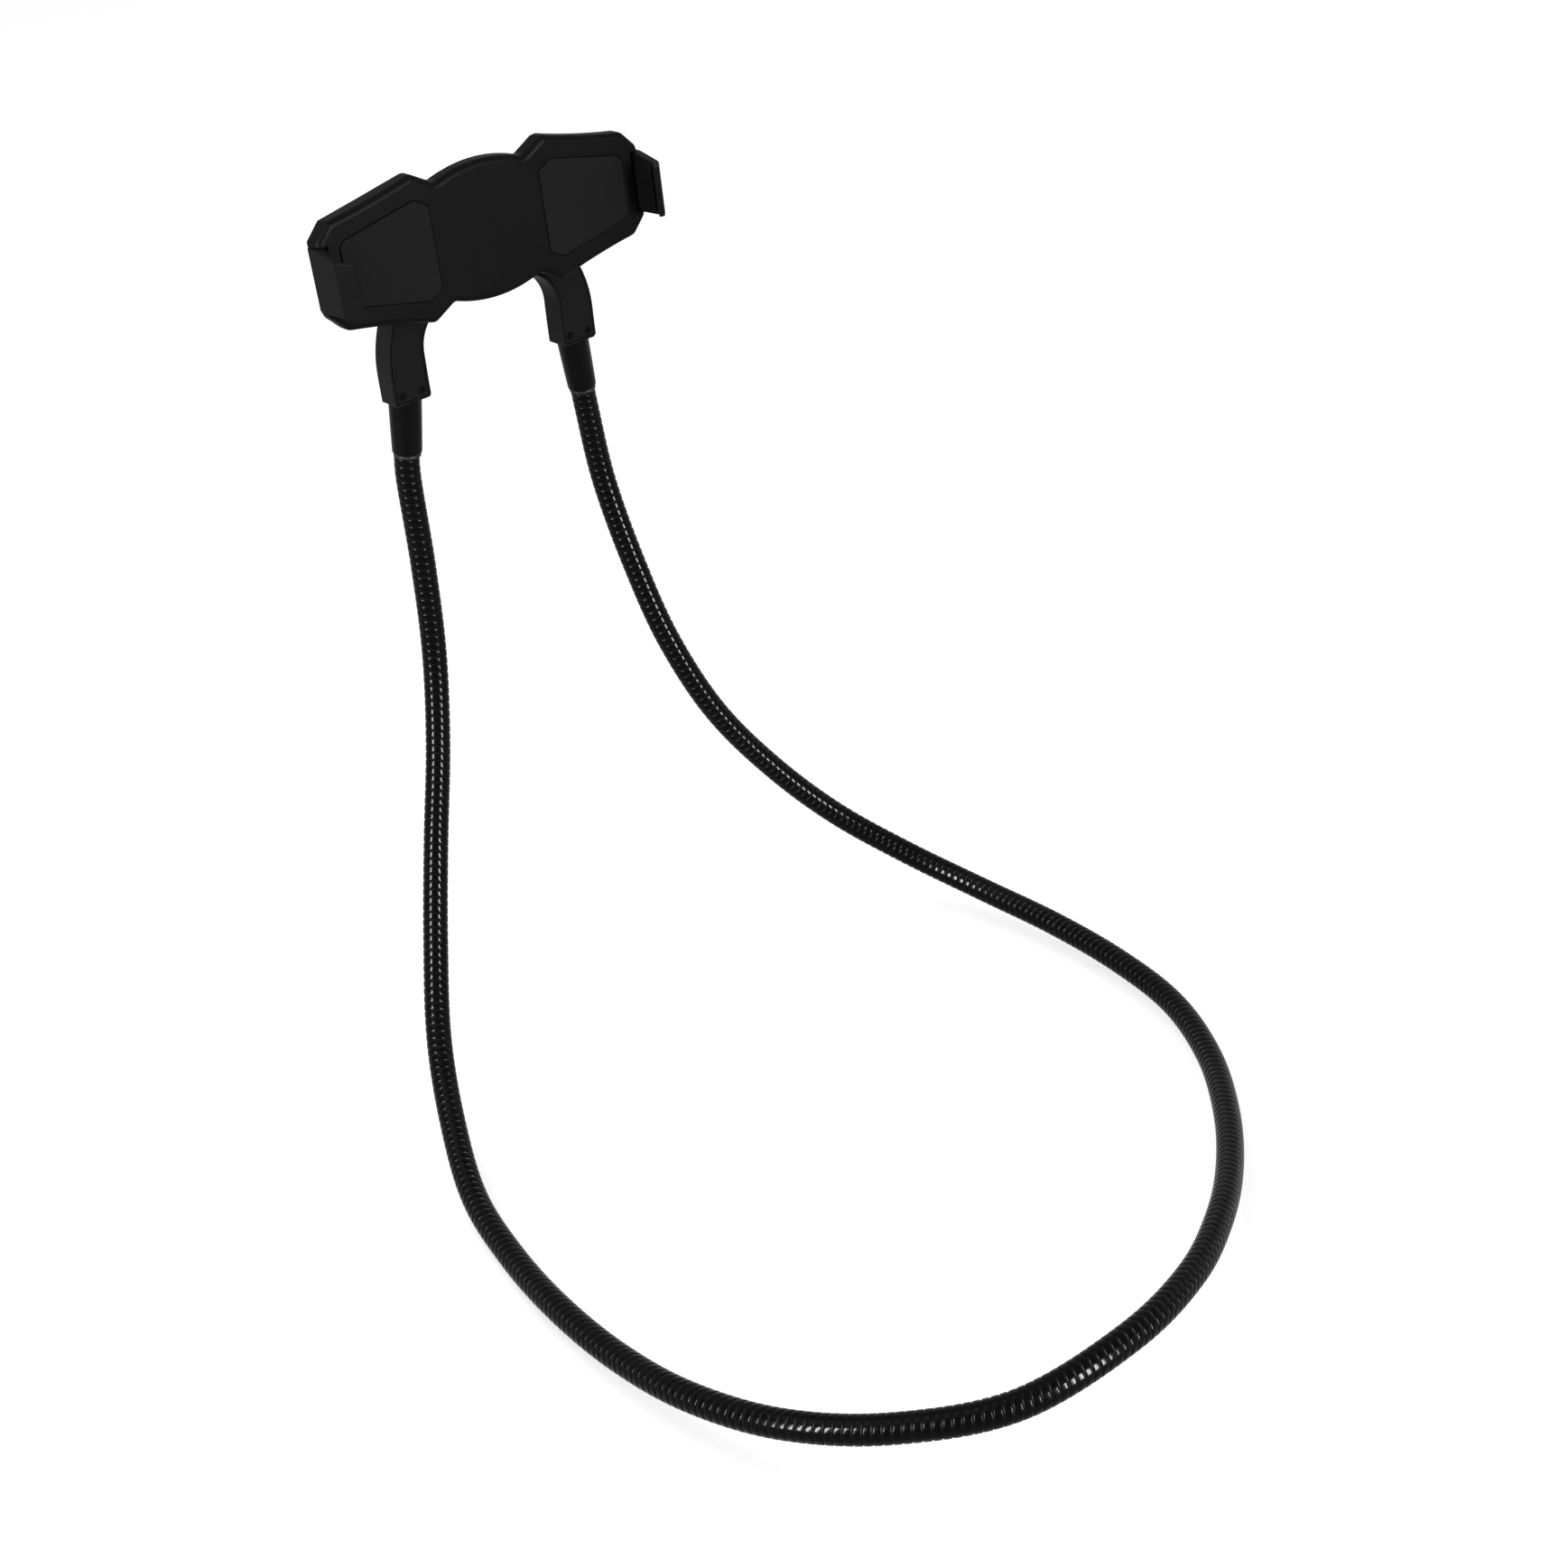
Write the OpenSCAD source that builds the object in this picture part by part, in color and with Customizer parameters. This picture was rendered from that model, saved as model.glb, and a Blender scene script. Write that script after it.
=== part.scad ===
// Neck phone holder: a spring clamp with two sliding hooks turns on a yoke,
// and the yoke's two legs are joined by one long ribbed gooseneck that goes round the neck.
// The clamp is drawn about its own centre: X along the plate, Y from its face to its back, Z up.
// The origin is on the gooseneck's centre line, where the loop lies on the nape.

/* [Clamp plate] */
// Length of the plate over its two ends
plate_l = 114; // [108:1:126]
// Height of the wings at their inner corners
wing_h = 44; // [42:0.5:50]
// Height of the wings at their outer corners
wing_outer_h = 31.8; // [29:0.2:35]
// Height of the straight edge at each end
end_h = 21.4; // [21:0.2:24]
// Distance of the wings' outer corners from the ends
end_cut = 5; // [3:0.5:7]
// Distance between the inner corners of the two wings
wing_gap = 46.4; // [42:0.2:50]
// Length of the waist between the wings
waist_l = 31.2; // [28:0.2:34]
// Height of the waist where it meets the wings
waist_h = 35.4; // [34:0.2:39]
// Rise of the waist's rounded edge at its middle
waist_rise = 2.8; // [1.5:0.1:4]
// Depth of the front cover from its face to its rim
front_t = 5.2; // [4.8:0.1:6]
// Thickness of the front cover's face
face_wall = 1.9; // [1.6:0.1:2.2]
// Thickness of the front cover's rim
rim_wall = 2; // [1.6:0.1:2.4]
// Thickness of the rear cover
rear_t = 2; // [1.8:0.1:2.8]
// How far the rear cover's edge lies inside the plate's edge
rear_inset = 0.8; // [0.4:0.1:1.4]

/* [Face pads] */
// Distance of a face pad from the wing's edge
pad_margin = 6.9; // [6:0.1:8]
// Thickness of a face pad
pad_t = 1.2; // [1:0.1:1.5]
// How far a face pad stands out of the plate
pad_proud = 0.3; // [0.2:0.1:0.5]
// Groove round a face pad
pad_groove = 0.3; // [0.2:0.05:0.5]

/* [Hooks] */
// Height of a hook's wall at the plate
hook_h = 18.5; // [17.5:0.1:18.8]
// Height of a hook's wall at its bend
hook_bend_h = 16; // [15:0.1:17.5]
// Height of the lip at its edge
lip_h = 14.9; // [14:0.1:16.5]
// How far a hook's bend and lip sit below its middle
bend_drop = 0.9; // [0:0.1:1.2]
// Thickness of a hook's wall
hook_wall = 2.5; // [2:0.1:2.8]
// How far a closed hook stands out past the plate's end
hook_proud = 0.5; // [0.3:0.1:1]
// Distance from the plate's face to the hook's bend
hook_reach = 9.1; // [9:0.1:14]
// How far the lip leans in over the device
lip_in = 3.5; // [3:0.1:6]
// How far the lip leans away from the plate
lip_out = 4.4; // [2.5:0.1:5]
// Thickness of the lip
lip_t = 1.8; // [1.5:0.1:2.2]
// Thickness of the soft pad on a hook's wall
hook_pad_t = 1; // [0.8:0.1:1.2]
// Height of that pad
hook_pad_h = 14.5; // [12:0.5:15.5]
// Travel of each hook
hook_travel = 38; // [30:1:38]
// Width of a hook's two tongue rails
rail_w = 4; // [3.5:0.1:4.2]
// Thickness of the tongue
tongue_t = 3.6; // [3.2:0.1:3.7]
// Distance of the tongue's inner end from the plate's middle
tongue_start = 4; // [3.5:0.5:5]

/* [Springs] */
// Outer diameter of a spring's body
spring_d = 3.4; // [3:0.1:3.5]
// Diameter of the spring wire
spring_wire = 0.5; // [0.4:0.05:0.6]
// Diameter of the pegs that hold the springs
peg_d = 1.4; // [1.2:0.1:1.5]

/* [Yoke] */
// Clear gap between the two legs
leg_gap = 49.8; // [48:0.2:54]
// Width of a leg
leg_w = 12.8; // [11.6:0.1:13.5]
// Depth of a leg from front to back
leg_d = 8.5; // [8.5:0.1:10]
// Distance of the legs' lower ends below the clamp's centre
leg_drop = 46; // [44:0.5:54]
// Height of the arch's crown above the clamp's centre
arch_crown = 1; // [0:0.5:4]
// Distance of the arch's underside below the clamp's centre
arch_under = 19; // [18:0.5:20]
// Radius of the arch's inner corners
arch_fillet = 13; // [10:0.5:14]
// How far the legs' faces swing back towards their lower ends
leg_lean = 1.1; // [0.6:0.1:2]
// Wall of the yoke's shell
yoke_wall = 1.6; // [1.3:0.1:1.8]
// Thickness of the yoke's cover
yoke_cover_t = 2; // [1.8:0.1:2.2]
// Rim of the shell that shows round the cover
yoke_rim = 0.7; // [0.5:0.1:1]
// Groove between the cover and that rim
yoke_groove = 0.25; // [0.15:0.05:0.4]
// Diameter of the swivel hub
hub_d = 24; // [22:0.5:28]
// Height of the hub behind the yoke
hub_rise = 2; // [1.5:0.1:3]

/* [Swivel] */
// Diameter of the spigot that the clamp turns on
spigot_d = 10; // [8:0.5:11]
// Length of the spigot behind the rear cover
spigot_l = 6.8; // [6.4:0.1:7.4]
// Outer diameter of the friction washer
friction_d = 18; // [16:0.5:20]
// Thickness of the friction washer
friction_t = 0.8; // [0.6:0.1:1]
// Thickness of the wave washer
wave_t = 0.8; // [0.6:0.1:1]
// Diameter of the retaining washer
retainer_d = 14.4; // [13.6:0.1:15]
// Thickness of the retaining washer
retainer_t = 1; // [0.8:0.1:1.2]
// Diameter of the pivot screw
pivot_d = 3; // [2.5:0.1:3.5]
// Diameter of the pivot screw's head
pivot_head_d = 5.6; // [5:0.1:6]
// Height of the pivot screw's head
pivot_head_h = 1.6; // [1.4:0.1:1.8]
// Diameter of the hub cap's rim
cap_d = 18.4; // [18:0.1:20]
// Thickness of the hub cap
cap_t = 1.2; // [1:0.1:1.6]

/* [Gooseneck] */
// Outer diameter of the gooseneck
hose_d = 8; // [7.5:0.1:8.4]
// Depth of the grooves between its ribs
rib_depth = 0.55; // [0.3:0.05:0.8]
// Bore of the gooseneck
hose_bore = 4.6; // [4.2:0.1:5]
// Number of ribs
rib_count = 180; // [100:2:200]
// Splay of the two sleeves from the vertical, in degrees
splay = 6.5; // [4:0.5:8]
// Backward tilt of the two sleeves, in degrees
sleeve_tilt = 5; // [0:0.5:6]
// Length of a sleeve below its leg
sleeve_l = 17; // [15:0.5:19]
// Diameter of a sleeve at its leg
sleeve_top_d = 10.2; // [9.4:0.1:10.6]
// Diameter of a sleeve at its lower end
sleeve_end_d = 9.3; // [8.9:0.1:9.4]
// Depth of the gooseneck's seat in a sleeve
seat_l = 12; // [10:0.5:13]
// Outer diameter of the metal ring below a sleeve
ring_d = 8.6; // [8.5:0.1:9.2]
// Length of that ring
ring_l = 0.9; // [0.6:0.1:1.2]
// Diameter of a plug's stem
stem_d = 3.8; // [3.4:0.1:3.8]
// Length of a plug's stem inside the gooseneck
stem_in = 8; // [6:0.5:10]
// Width of the plug's head inside the leg
plug_w = 6.4; // [5.6:0.1:6.6]
// Height of the plug's head
plug_h = 7; // [6:0.5:7]

/* [Screws] */
// Diameter of the cover screws
cover_screw_d = 2; // [1.8:0.1:2.2]
// Diameter of their heads
cover_head_d = 4; // [3.6:0.1:4.4]
// Length of the cover screws
cover_screw_l = 4.6; // [4:0.1:5]
// Diameter of the screw bosses
boss_d = 5.2; // [4.8:0.1:5.4]
// Diameter of the leg screws
leg_screw_d = 1.6; // [1.4:0.1:1.7]
// Diameter of the leg screws' heads
leg_head_d = 2.5; // [2.2:0.1:2.8]
// Length of the leg screws
leg_screw_l = 3.4; // [3:0.1:3.6]
// Distance between the two screws of a leg
leg_screw_gap = 7; // [6.6:0.1:7.2]
// Height of the leg screws above the leg's lower end
leg_screw_up = 2.9; // [2.7:0.1:3.4]

/* [Hidden] */
$fn = 48;

// Overrun of a cut past the face it opens
over = 1;
// Gap of a piece that slides in another
slide_gap = 0.25;
// Gap of a piece that is pressed on or screwed in
snug_gap = 0.02;
// Radial gap of a shaft in its bore
run_gap = 0.05;
// Gap of two faces that turn on each other
thrust_gap = 0.05;
// Gap round a piece that is let into another
fit_gap = 0.15;

// The nape point of the loop, from the clamp's centre
nape = [-40, -277, -229];

// The gooseneck's route between its two sleeves, from the left arm round the neck to the right arm,
// also from the clamp's centre
neck_route = [
    [-36, 15, -100], [-40, 12, -129], [-49, 5, -156], [-63, -7, -181], [-77, -20, -206], [-91, -36, -228],
    [-103, -57, -243], [-114, -83, -251], [-120, -111, -253], [-124, -141, -251], [-125, -171, -248],
    [-123, -200, -243], [-115, -228, -238], [-99, -252, -234], [-74, -271, -231], nape, [-10, -272, -232],
    [15, -261, -236], [38, -246, -241], [60, -227, -245], [80, -204, -248], [94, -178, -249],
    [100, -150, -249], [101, -120, -248], [97, -90, -245], [88, -63, -237], [74, -42, -222],
    [59, -28, -201], [46, -17, -177], [38, -7, -150], [36, 4, -124], [35, 13, -96]];

// Plate: the outline runs anticlockwise, seen from behind the face
end_x = plate_l / 2;
plate_t = front_t + rear_t;
waist_x = waist_l / 2;
waist_z = waist_h / 2;
waist_r = (waist_x * waist_x + waist_rise * waist_rise) / (2 * waist_rise);
waist_angle = asin(waist_x / waist_r);
waist_steps = 12;
waist_edge = [for (i = [0:waist_steps])
    let (a = waist_angle * (1 - 2 * i / waist_steps))
    [waist_r * sin(a), waist_z + waist_rise - waist_r + waist_r * cos(a)]];
wing_edge = [[end_x, end_h / 2], [end_x - end_cut, wing_outer_h / 2], [wing_gap / 2, wing_h / 2]];

function turned(points) = [for (p = points) -p];
plate_half = concat(wing_edge, waist_edge, [for (i = [2:-1:0]) [-wing_edge[i][0], wing_edge[i][1]]]);
plate_outline = concat(plate_half, turned(plate_half));

// Corner of an outline moved inwards by d, from its two neighbours
function normal_of(a, b) = let (v = b - a) [-v[1], v[0]] / norm(v);
function inset(points, d) = let (n = len(points)) [for (i = [0:n - 1])
    let (m = normal_of(points[(i + n - 1) % n], points[i]), k = normal_of(points[i], points[(i + 1) % n]))
    points[i] + (m + k) * d / (1 + m * k)];

// Right wing on its own, closed by an upright edge, from which the face pad's outline is drawn
wing_slope = (wing_h - waist_h) / (wing_gap - waist_l);
wing_back_x = waist_x - waist_rise;
wing_back_z = waist_z - waist_rise * wing_slope;
wing_top = concat(wing_edge, [[wing_back_x, wing_back_z]]);
wing_outline = concat(wing_top, [for (i = [3:-1:0]) [wing_top[i][0], -wing_top[i][1]]]);
pad_pocket = pad_t - pad_proud;

// Hooks: the right one is drawn, and the left one is its mirror image
hook_x = end_x + hook_proud;
hook_in_x = hook_x - hook_wall;
notch_x = hook_in_x - hook_pad_t - pad_groove;
notch_h = hook_h + 2 * slide_gap;
tongue_h = hook_h - 3 * slide_gap;
tongue_y = face_wall + slide_gap;
tongue_back = tongue_y + tongue_t;
channel_z = tongue_h / 2 + slide_gap;
channel_back = tongue_back + slide_gap;
rib_w = 1.5;
lip_l = norm([lip_in, lip_out]);
lip_dir = [-lip_in, -lip_out] / lip_l;
lip_side = [lip_dir[1], -lip_dir[0]];
bend_slip = (hook_wall + lip_side[0] * lip_t) / -lip_dir[0];
bend_in_y = -hook_reach + lip_side[1] * lip_t + lip_dir[1] * bend_slip;

// Springs and their pegs
spring_y = (tongue_y + tongue_back) / 2;
loop_r = spring_d / 2 - spring_wire / 2;
peg_slack = loop_r - spring_wire / 2 - peg_d / 2 - run_gap;
anchor_x = tongue_start;
bridge_w = hook_wall + rib_w;
bridge_x = notch_x - bridge_w;
peg_x = bridge_x - spring_d;
tab_t = face_wall / 2;
nib_w = peg_d;
nib_l = rib_w;
stop_x = tongue_start + nib_l + hook_travel + run_gap;

// Yoke
yoke_y = plate_t + friction_t;
leg_x = leg_gap / 2 + leg_w / 2;
arch_r = leg_gap / 2 + leg_w;
arch_z = arch_crown - arch_r;
fillet_x = leg_gap / 2 - arch_fillet;
fillet_z = -arch_under - arch_fillet;
lean_top = -arch_under;
lean_steps = 10;
arch_sides = 96;
cover_in = yoke_rim + yoke_groove;
hollow_mid = (yoke_cover_t + leg_d - yoke_wall) / 2;
hub_back = yoke_y + leg_d + hub_rise;

// Swivel stack, from the rear cover backwards
spigot_end = plate_t + spigot_l;
hub_seat = spigot_end - wave_t;
retainer_end = spigot_end + retainer_t;
hub_bore_d = retainer_d + 2 * slide_gap;

// Screws
head_h = (cover_head_d - cover_screw_d) / 2;
leg_head_h = (leg_head_d - leg_screw_d) / 2;
waist_screw_in = 5.1;
wing_screw_in = 6.8;
wing_screw_out = 4.8;
waist_screw_z = waist_z + waist_rise - waist_screw_in;
wing_screw_x = wing_gap / 2 + wing_screw_out;
wing_screw_z = wing_h / 2 - wing_screw_in;
cover_screw_at = [for (sz = [-1, 1]) each [[0, sz * waist_screw_z],
    [-wing_screw_x, sz * wing_screw_z], [wing_screw_x, sz * wing_screw_z]]];
yoke_screw_x = 18;
yoke_screw_z = -arch_under / 2;
yoke_boss_d = 5;
slot_w = 0.45;
slot_share = 0.62;

// Gooseneck
hose_r = hose_d / 2;
groove_r = hose_r - rib_depth;
hose_sides = 8;
bore_step = 4;
sleeve_bore = hose_d / 2 + run_gap;
plug_d = leg_d - yoke_cover_t - yoke_wall - 2 * fit_gap;
head_up = leg_screw_up + leg_head_d / 2 + 2 * fit_gap + plug_w / 2 * sin(splay);
sleeve_fall = cos(splay) * cos(sleeve_tilt);

// How far the yoke's front has swung back at height z
function lean(z) = let (t = max(0, min(1, (lean_top - z) / (leg_drop - arch_under))))
    leg_lean * t * t * (3 - 2 * t);

// Leg screws: their heads lie in the yoke's front
leg_screw_x = [for (sx = [-1, 1]) for (s = [-1, 1]) sx * leg_x + s * leg_screw_gap / 2];
leg_screw_z = leg_screw_up - leg_drop;
leg_screw_y = yoke_y + lean(leg_screw_z);

// Direction of a sleeve, away from its leg, for the side sx, -1 left or 1 right
function sleeve_dir(sx) = [sx * sin(splay) * cos(sleeve_tilt), sin(sleeve_tilt), -sleeve_fall];
// Where a sleeve's axis leaves its leg: it crosses the middle of the leg's hollow between the leg screws
function leg_foot(sx) = [sx * leg_x, yoke_y + leg_lean + hollow_mid, leg_screw_up - leg_drop]
    + sleeve_dir(sx) * leg_screw_up / sleeve_fall;
// Point on a sleeve's axis at a distance below the leg
function sleeve_point(sx, d) = leg_foot(sx) + sleeve_dir(sx) * d;

// A flat outline in X and Z, given thickness from y0 to y1
module slab(y0, y1) {
    translate([0, y1, 0]) rotate([90, 0, 0]) linear_extrude(y1 - y0) children();
}

// A cylinder along Y at x, z
module shaft(r, y0, y1, x = 0, z = 0) {
    translate([x, y1, z]) rotate([90, 0, 0]) cylinder(r = r, h = y1 - y0);
}

// A cone along Y from radius r0 at y0 to r1 at y1
module cone(r0, r1, y0, y1, x = 0, z = 0) {
    translate([x, y1, z]) rotate([90, 0, 0]) cylinder(r1 = r1, r2 = r0, h = y1 - y0);
}

// A box between two corners
module block(low, high) {
    translate(low) cube(high - low);
}

// Puts a piece of the clamp or the yoke in its place above the loop
module placed() {
    translate(-nape) children();
}

// The right-hand piece, mirrored for the left side
module on_side(sx) {
    if (sx < 0) mirror([1, 0, 0]) children();
    else children();
}

// A countersunk screw along Y: its head lies at y, and it points to the side of dir
module screw(d, head_d, l, y, dir, x, z) {
    h = (head_d - d) / 2;
    slot_l = head_d * slot_share;
    translate([x, y, z]) rotate([90 * dir, 0, 0]) difference() {
        union() {
            cylinder(r1 = head_d / 2, r2 = d / 2, h = h);
            cylinder(d = d, h = l);
        }
        for (a = [0, 90]) rotate([0, 0, a])
            translate([-slot_l / 2, -slot_w / 2, -over]) cube([slot_l, slot_w, over + h / 2]);
    }
}

// Front cover

module cover_bosses() {
    for (p = cover_screw_at) shaft(boss_d / 2, face_wall - snug_gap, front_t, p[0], p[1]);
}

module guide_ribs() {
    for (sx = [-1, 1]) on_side(sx) for (sz = [-1, 1])
        block([waist_x, face_wall - snug_gap, min(sz * channel_z, sz * (channel_z + rib_w))],
              [end_x - rim_wall, front_t, max(sz * channel_z, sz * (channel_z + rib_w))]);
}

module spring_anchors() {
    for (sx = [-1, 1]) shaft(peg_d / 2, face_wall - snug_gap, front_t, sx * anchor_x);
}

module travel_stops() {
    inner = spring_d / 2 + slide_gap;
    outer = tongue_h / 2 - rail_w - slide_gap;
    for (sx = [-1, 1]) on_side(sx) for (sz = [-1, 1])
        block([stop_x, face_wall - snug_gap, min(sz * inner, sz * outer)],
              [stop_x + rib_w, front_t, max(sz * inner, sz * outer)]);
}

module front_cover() {
    color([0.1, 0.1, 0.1]) placed() difference() {
        union() {
            difference() {
                slab(0, front_t) polygon(plate_outline);
                slab(face_wall, front_t + over) polygon(inset(plate_outline, rim_wall));
            }
            cover_bosses();
            guide_ribs();
            spring_anchors();
            travel_stops();
        }
        for (sx = [-1, 1]) on_side(sx) {
            slab(-over, pad_pocket) polygon(inset(wing_outline, pad_margin - pad_groove));
            block([notch_x, -over, -notch_h / 2], [end_x + over, front_t + over, notch_h / 2]);
            block([notch_x - rim_wall - over, face_wall, -channel_z],
                  [notch_x + over, front_t + over, channel_z]);
        }
        for (p = cover_screw_at)
            shaft(cover_screw_d / 2 + snug_gap, face_wall, front_t + over, p[0], p[1]);
    }
}

// Rear cover with the spigot that the clamp turns on

module rear_cover() {
    color([0.1, 0.1, 0.1]) placed() difference() {
        union() {
            slab(front_t, plate_t) polygon(inset(plate_outline, rear_inset));
            shaft(spigot_d / 2, plate_t - snug_gap, spigot_end);
        }
        block([-end_x - over, front_t - over, -channel_z], [end_x + over, channel_back, channel_z]);
        for (p = cover_screw_at) {
            shaft(cover_screw_d / 2 + fit_gap, front_t - over, plate_t + over, p[0], p[1]);
            cone(cover_screw_d / 2 + fit_gap, cover_head_d / 2 + fit_gap,
                 plate_t - head_h, plate_t + snug_gap, p[0], p[1]);
        }
        shaft(pivot_d / 2 + snug_gap, plate_t, spigot_end + over);
    }
}

module cover_screws() {
    color([0.3, 0.3, 0.3]) placed() for (p = cover_screw_at)
        screw(cover_screw_d, cover_head_d, cover_screw_l, plate_t, 1, p[0], p[1]);
}

// Face pads

module face_pad(sx) {
    color([0.2, 0.2, 0.2]) placed() on_side(sx)
        slab(-pad_proud, pad_pocket) polygon(inset(wing_outline, pad_margin));
}

// Hooks

module hook_plan() {
    corner = [hook_x, -hook_reach];
    tip = corner + lip_dir * lip_l;
    polygon([[hook_x, front_t - fit_gap], corner, tip, tip + lip_side * lip_t,
             corner + lip_side * lip_t + lip_dir * bend_slip, [hook_in_x, front_t - fit_gap]]);
}

module hook_side() {
    tip_y = -hook_reach - lip_out;
    bend_top = hook_bend_h / 2 - bend_drop;
    lip_top = lip_h / 2 - bend_drop;
    polygon([[front_t, hook_h / 2], [-pad_proud, hook_h / 2], [-hook_reach, bend_top],
             [tip_y, lip_top], [tip_y - over, lip_top], [tip_y - over, lip_top - lip_h],
             [tip_y, lip_top - lip_h], [-hook_reach, bend_top - hook_bend_h],
             [-pad_proud, -hook_h / 2], [front_t, -hook_h / 2]]);
}

module tongue() {
    rail_z = tongue_h / 2 - rail_w;
    difference() {
        block([tongue_start, tongue_y, -tongue_h / 2], [hook_in_x + snug_gap, tongue_back, tongue_h / 2]);
        block([tongue_start - over, tongue_y - over, -rail_z], [bridge_x, tongue_back + over, rail_z]);
    }
    for (sz = [-1, 1]) block(
        [tongue_start, tongue_y, min(sz * rail_z, sz * (rail_z - nib_w))],
        [tongue_start + nib_l, tongue_back, max(sz * rail_z, sz * (rail_z - nib_w))]);
    block([peg_x - peg_d / 2, tongue_y, -peg_d], [bridge_x + snug_gap, tongue_y + tab_t, peg_d]);
    shaft(peg_d / 2, tongue_y, tongue_back, peg_x);
}

module hook(sx) {
    color([0.1, 0.1, 0.1]) placed() on_side(sx) {
        intersection() {
            translate([0, 0, -hook_h / 2]) linear_extrude(hook_h) hook_plan();
            translate([hook_x - hook_wall - lip_in - over, 0, 0]) rotate([90, 0, 90])
                linear_extrude(hook_wall + lip_in + 2 * over) hook_side();
        }
        tongue();
    }
}

module hook_pad(sx) {
    back_y = -pad_proud - pad_groove;
    front_y = bend_in_y + 2 * pad_groove;
    top = hook_pad_h / 2 - bend_drop;
    color([0.2, 0.2, 0.2]) placed() on_side(sx)
        block([hook_in_x - hook_pad_t, front_y, top - hook_pad_h], [hook_in_x, back_y, top]);
}

// Springs: a close-wound body with an eye round a peg at each end

module spring_eye(x) {
    translate([x, spring_y, 0]) rotate([90, 0, 0]) rotate_extrude()
        translate([loop_r, 0]) circle(d = spring_wire);
}

module spring(sx) {
    first = anchor_x + peg_slack;
    last = peg_x - peg_slack;
    bend = peg_d / 2 - peg_slack + slide_gap;
    body_l = last - first - 2 * bend;
    color([0.6, 0.6, 0.6]) placed() on_side(sx) {
        spring_eye(first);
        spring_eye(last);
        translate([first + bend, spring_y, 0]) rotate([0, 90, 0]) difference() {
            cylinder(d = spring_d, h = body_l);
            translate([0, 0, -over]) cylinder(d = spring_d - 2 * spring_wire, h = body_l + 2 * over);
        }
    }
}

// Yoke

// The arch and its legs, drawn in by d all round
module arch(d) {
    r = arch_r - d;
    foot = -leg_drop + d;
    half = leg_gap / 2 + d;
    difference() {
        union() {
            translate([0, arch_z]) circle(r, $fn = arch_sides);
            translate([-r, foot]) square([2 * r, arch_z - foot]);
            circle(hub_d / 2 - d);
        }
        translate([-arch_r - over, -2 * arch_r - leg_drop]) square([2 * (arch_r + over), 2 * arch_r + d]);
        translate([-half, foot - over]) square([2 * half, fillet_z - foot + over]);
        translate([-fillet_x, foot - over]) square([2 * fillet_x, -arch_under + d - foot + over]);
        for (sx = [-1, 1]) translate([sx * fillet_x, fillet_z]) circle(arch_fillet + d);
    }
}

// Space between two depths behind the yoke's leaning front
module leaning(y0, y1) {
    low = -leg_drop - over;
    front = [for (i = [0:lean_steps]) let (z = low + (lean_top - low) * i / lean_steps) [lean(z), z]];
    top = hub_d;
    half = arch_r + over;
    translate([-half, 0, 0]) rotate([90, 0, 90]) linear_extrude(2 * half)
        polygon(concat([for (p = front) [yoke_y + y1 + p[0], p[1]]], [[yoke_y + y1, top], [yoke_y + y0, top]],
                       [for (i = [lean_steps:-1:0]) [yoke_y + y0 + front[i][0], front[i][1]]]));
}

module arch_layer(d, y0, y1) {
    intersection() {
        slab(0, hub_back + leg_d) arch(d);
        leaning(y0, y1);
    }
}

module leg_screw_bosses() {
    for (x = leg_screw_x)
        shaft(leg_head_d / 2, yoke_y + yoke_cover_t + leg_lean, yoke_y + leg_d, x, leg_screw_z);
}

module yoke_shell() {
    color([0.12, 0.12, 0.12]) placed() difference() {
        union() {
            difference() {
                union() {
                    arch_layer(0, 0, leg_d);
                    shaft(hub_d / 2, yoke_y + leg_d - yoke_wall, hub_back);
                }
                arch_layer(yoke_rim, -over, yoke_cover_t);
                arch_layer(yoke_wall, yoke_cover_t - snug_gap, leg_d - yoke_wall);
            }
            shaft(hub_bore_d / 2 + yoke_wall, yoke_y + yoke_cover_t, hub_back);
            leg_screw_bosses();
            for (x = [-yoke_screw_x, yoke_screw_x])
                shaft(yoke_boss_d / 2, yoke_y + yoke_cover_t, yoke_y + leg_d, x, yoke_screw_z);
        }
        shaft(spigot_d / 2 + run_gap, 0, hub_back + over);
        shaft(hub_bore_d / 2, hub_seat, hub_back + over);
        for (x = leg_screw_x)
            shaft(leg_screw_d / 2 + snug_gap, 0, yoke_y + leg_lean + yoke_cover_t + leg_screw_l,
                  x, leg_screw_z);
        for (sx = [-1, 1]) {
            translate(leg_foot(sx)) sleeve_turn(sx) translate([0, 0, -yoke_wall])
                cylinder(r = stem_d / 2 + fit_gap, h = 3 * yoke_wall);
            shaft(cover_screw_d / 2 + fit_gap, 0, hub_back + over, sx * yoke_screw_x, yoke_screw_z);
            cone(cover_screw_d / 2 + fit_gap, cover_head_d / 2 + fit_gap, yoke_y + leg_d - head_h,
                 yoke_y + leg_d + snug_gap, sx * yoke_screw_x, yoke_screw_z);
        }
    }
}

module yoke_cover() {
    color([0.14, 0.14, 0.14]) placed() difference() {
        arch_layer(cover_in, 0, yoke_cover_t - snug_gap);
        shaft(spigot_d / 2 + run_gap, 0, hub_back);
        for (x = leg_screw_x) {
            shaft(leg_screw_d / 2 + fit_gap / 2, 0, hub_back, x, leg_screw_z);
            cone(leg_head_d / 2 + fit_gap / 2, leg_screw_d / 2 + fit_gap / 2,
                 leg_screw_y, leg_screw_y + leg_head_h, x, leg_screw_z);
            shaft(leg_head_d / 2 + fit_gap / 2, 0, leg_screw_y + snug_gap, x, leg_screw_z);
        }
        for (sx = [-1, 1])
            shaft(cover_screw_d / 2 + snug_gap, yoke_y + yoke_cover_t / 2 - snug_gap, hub_back,
                  sx * yoke_screw_x, yoke_screw_z);
    }
}

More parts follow.
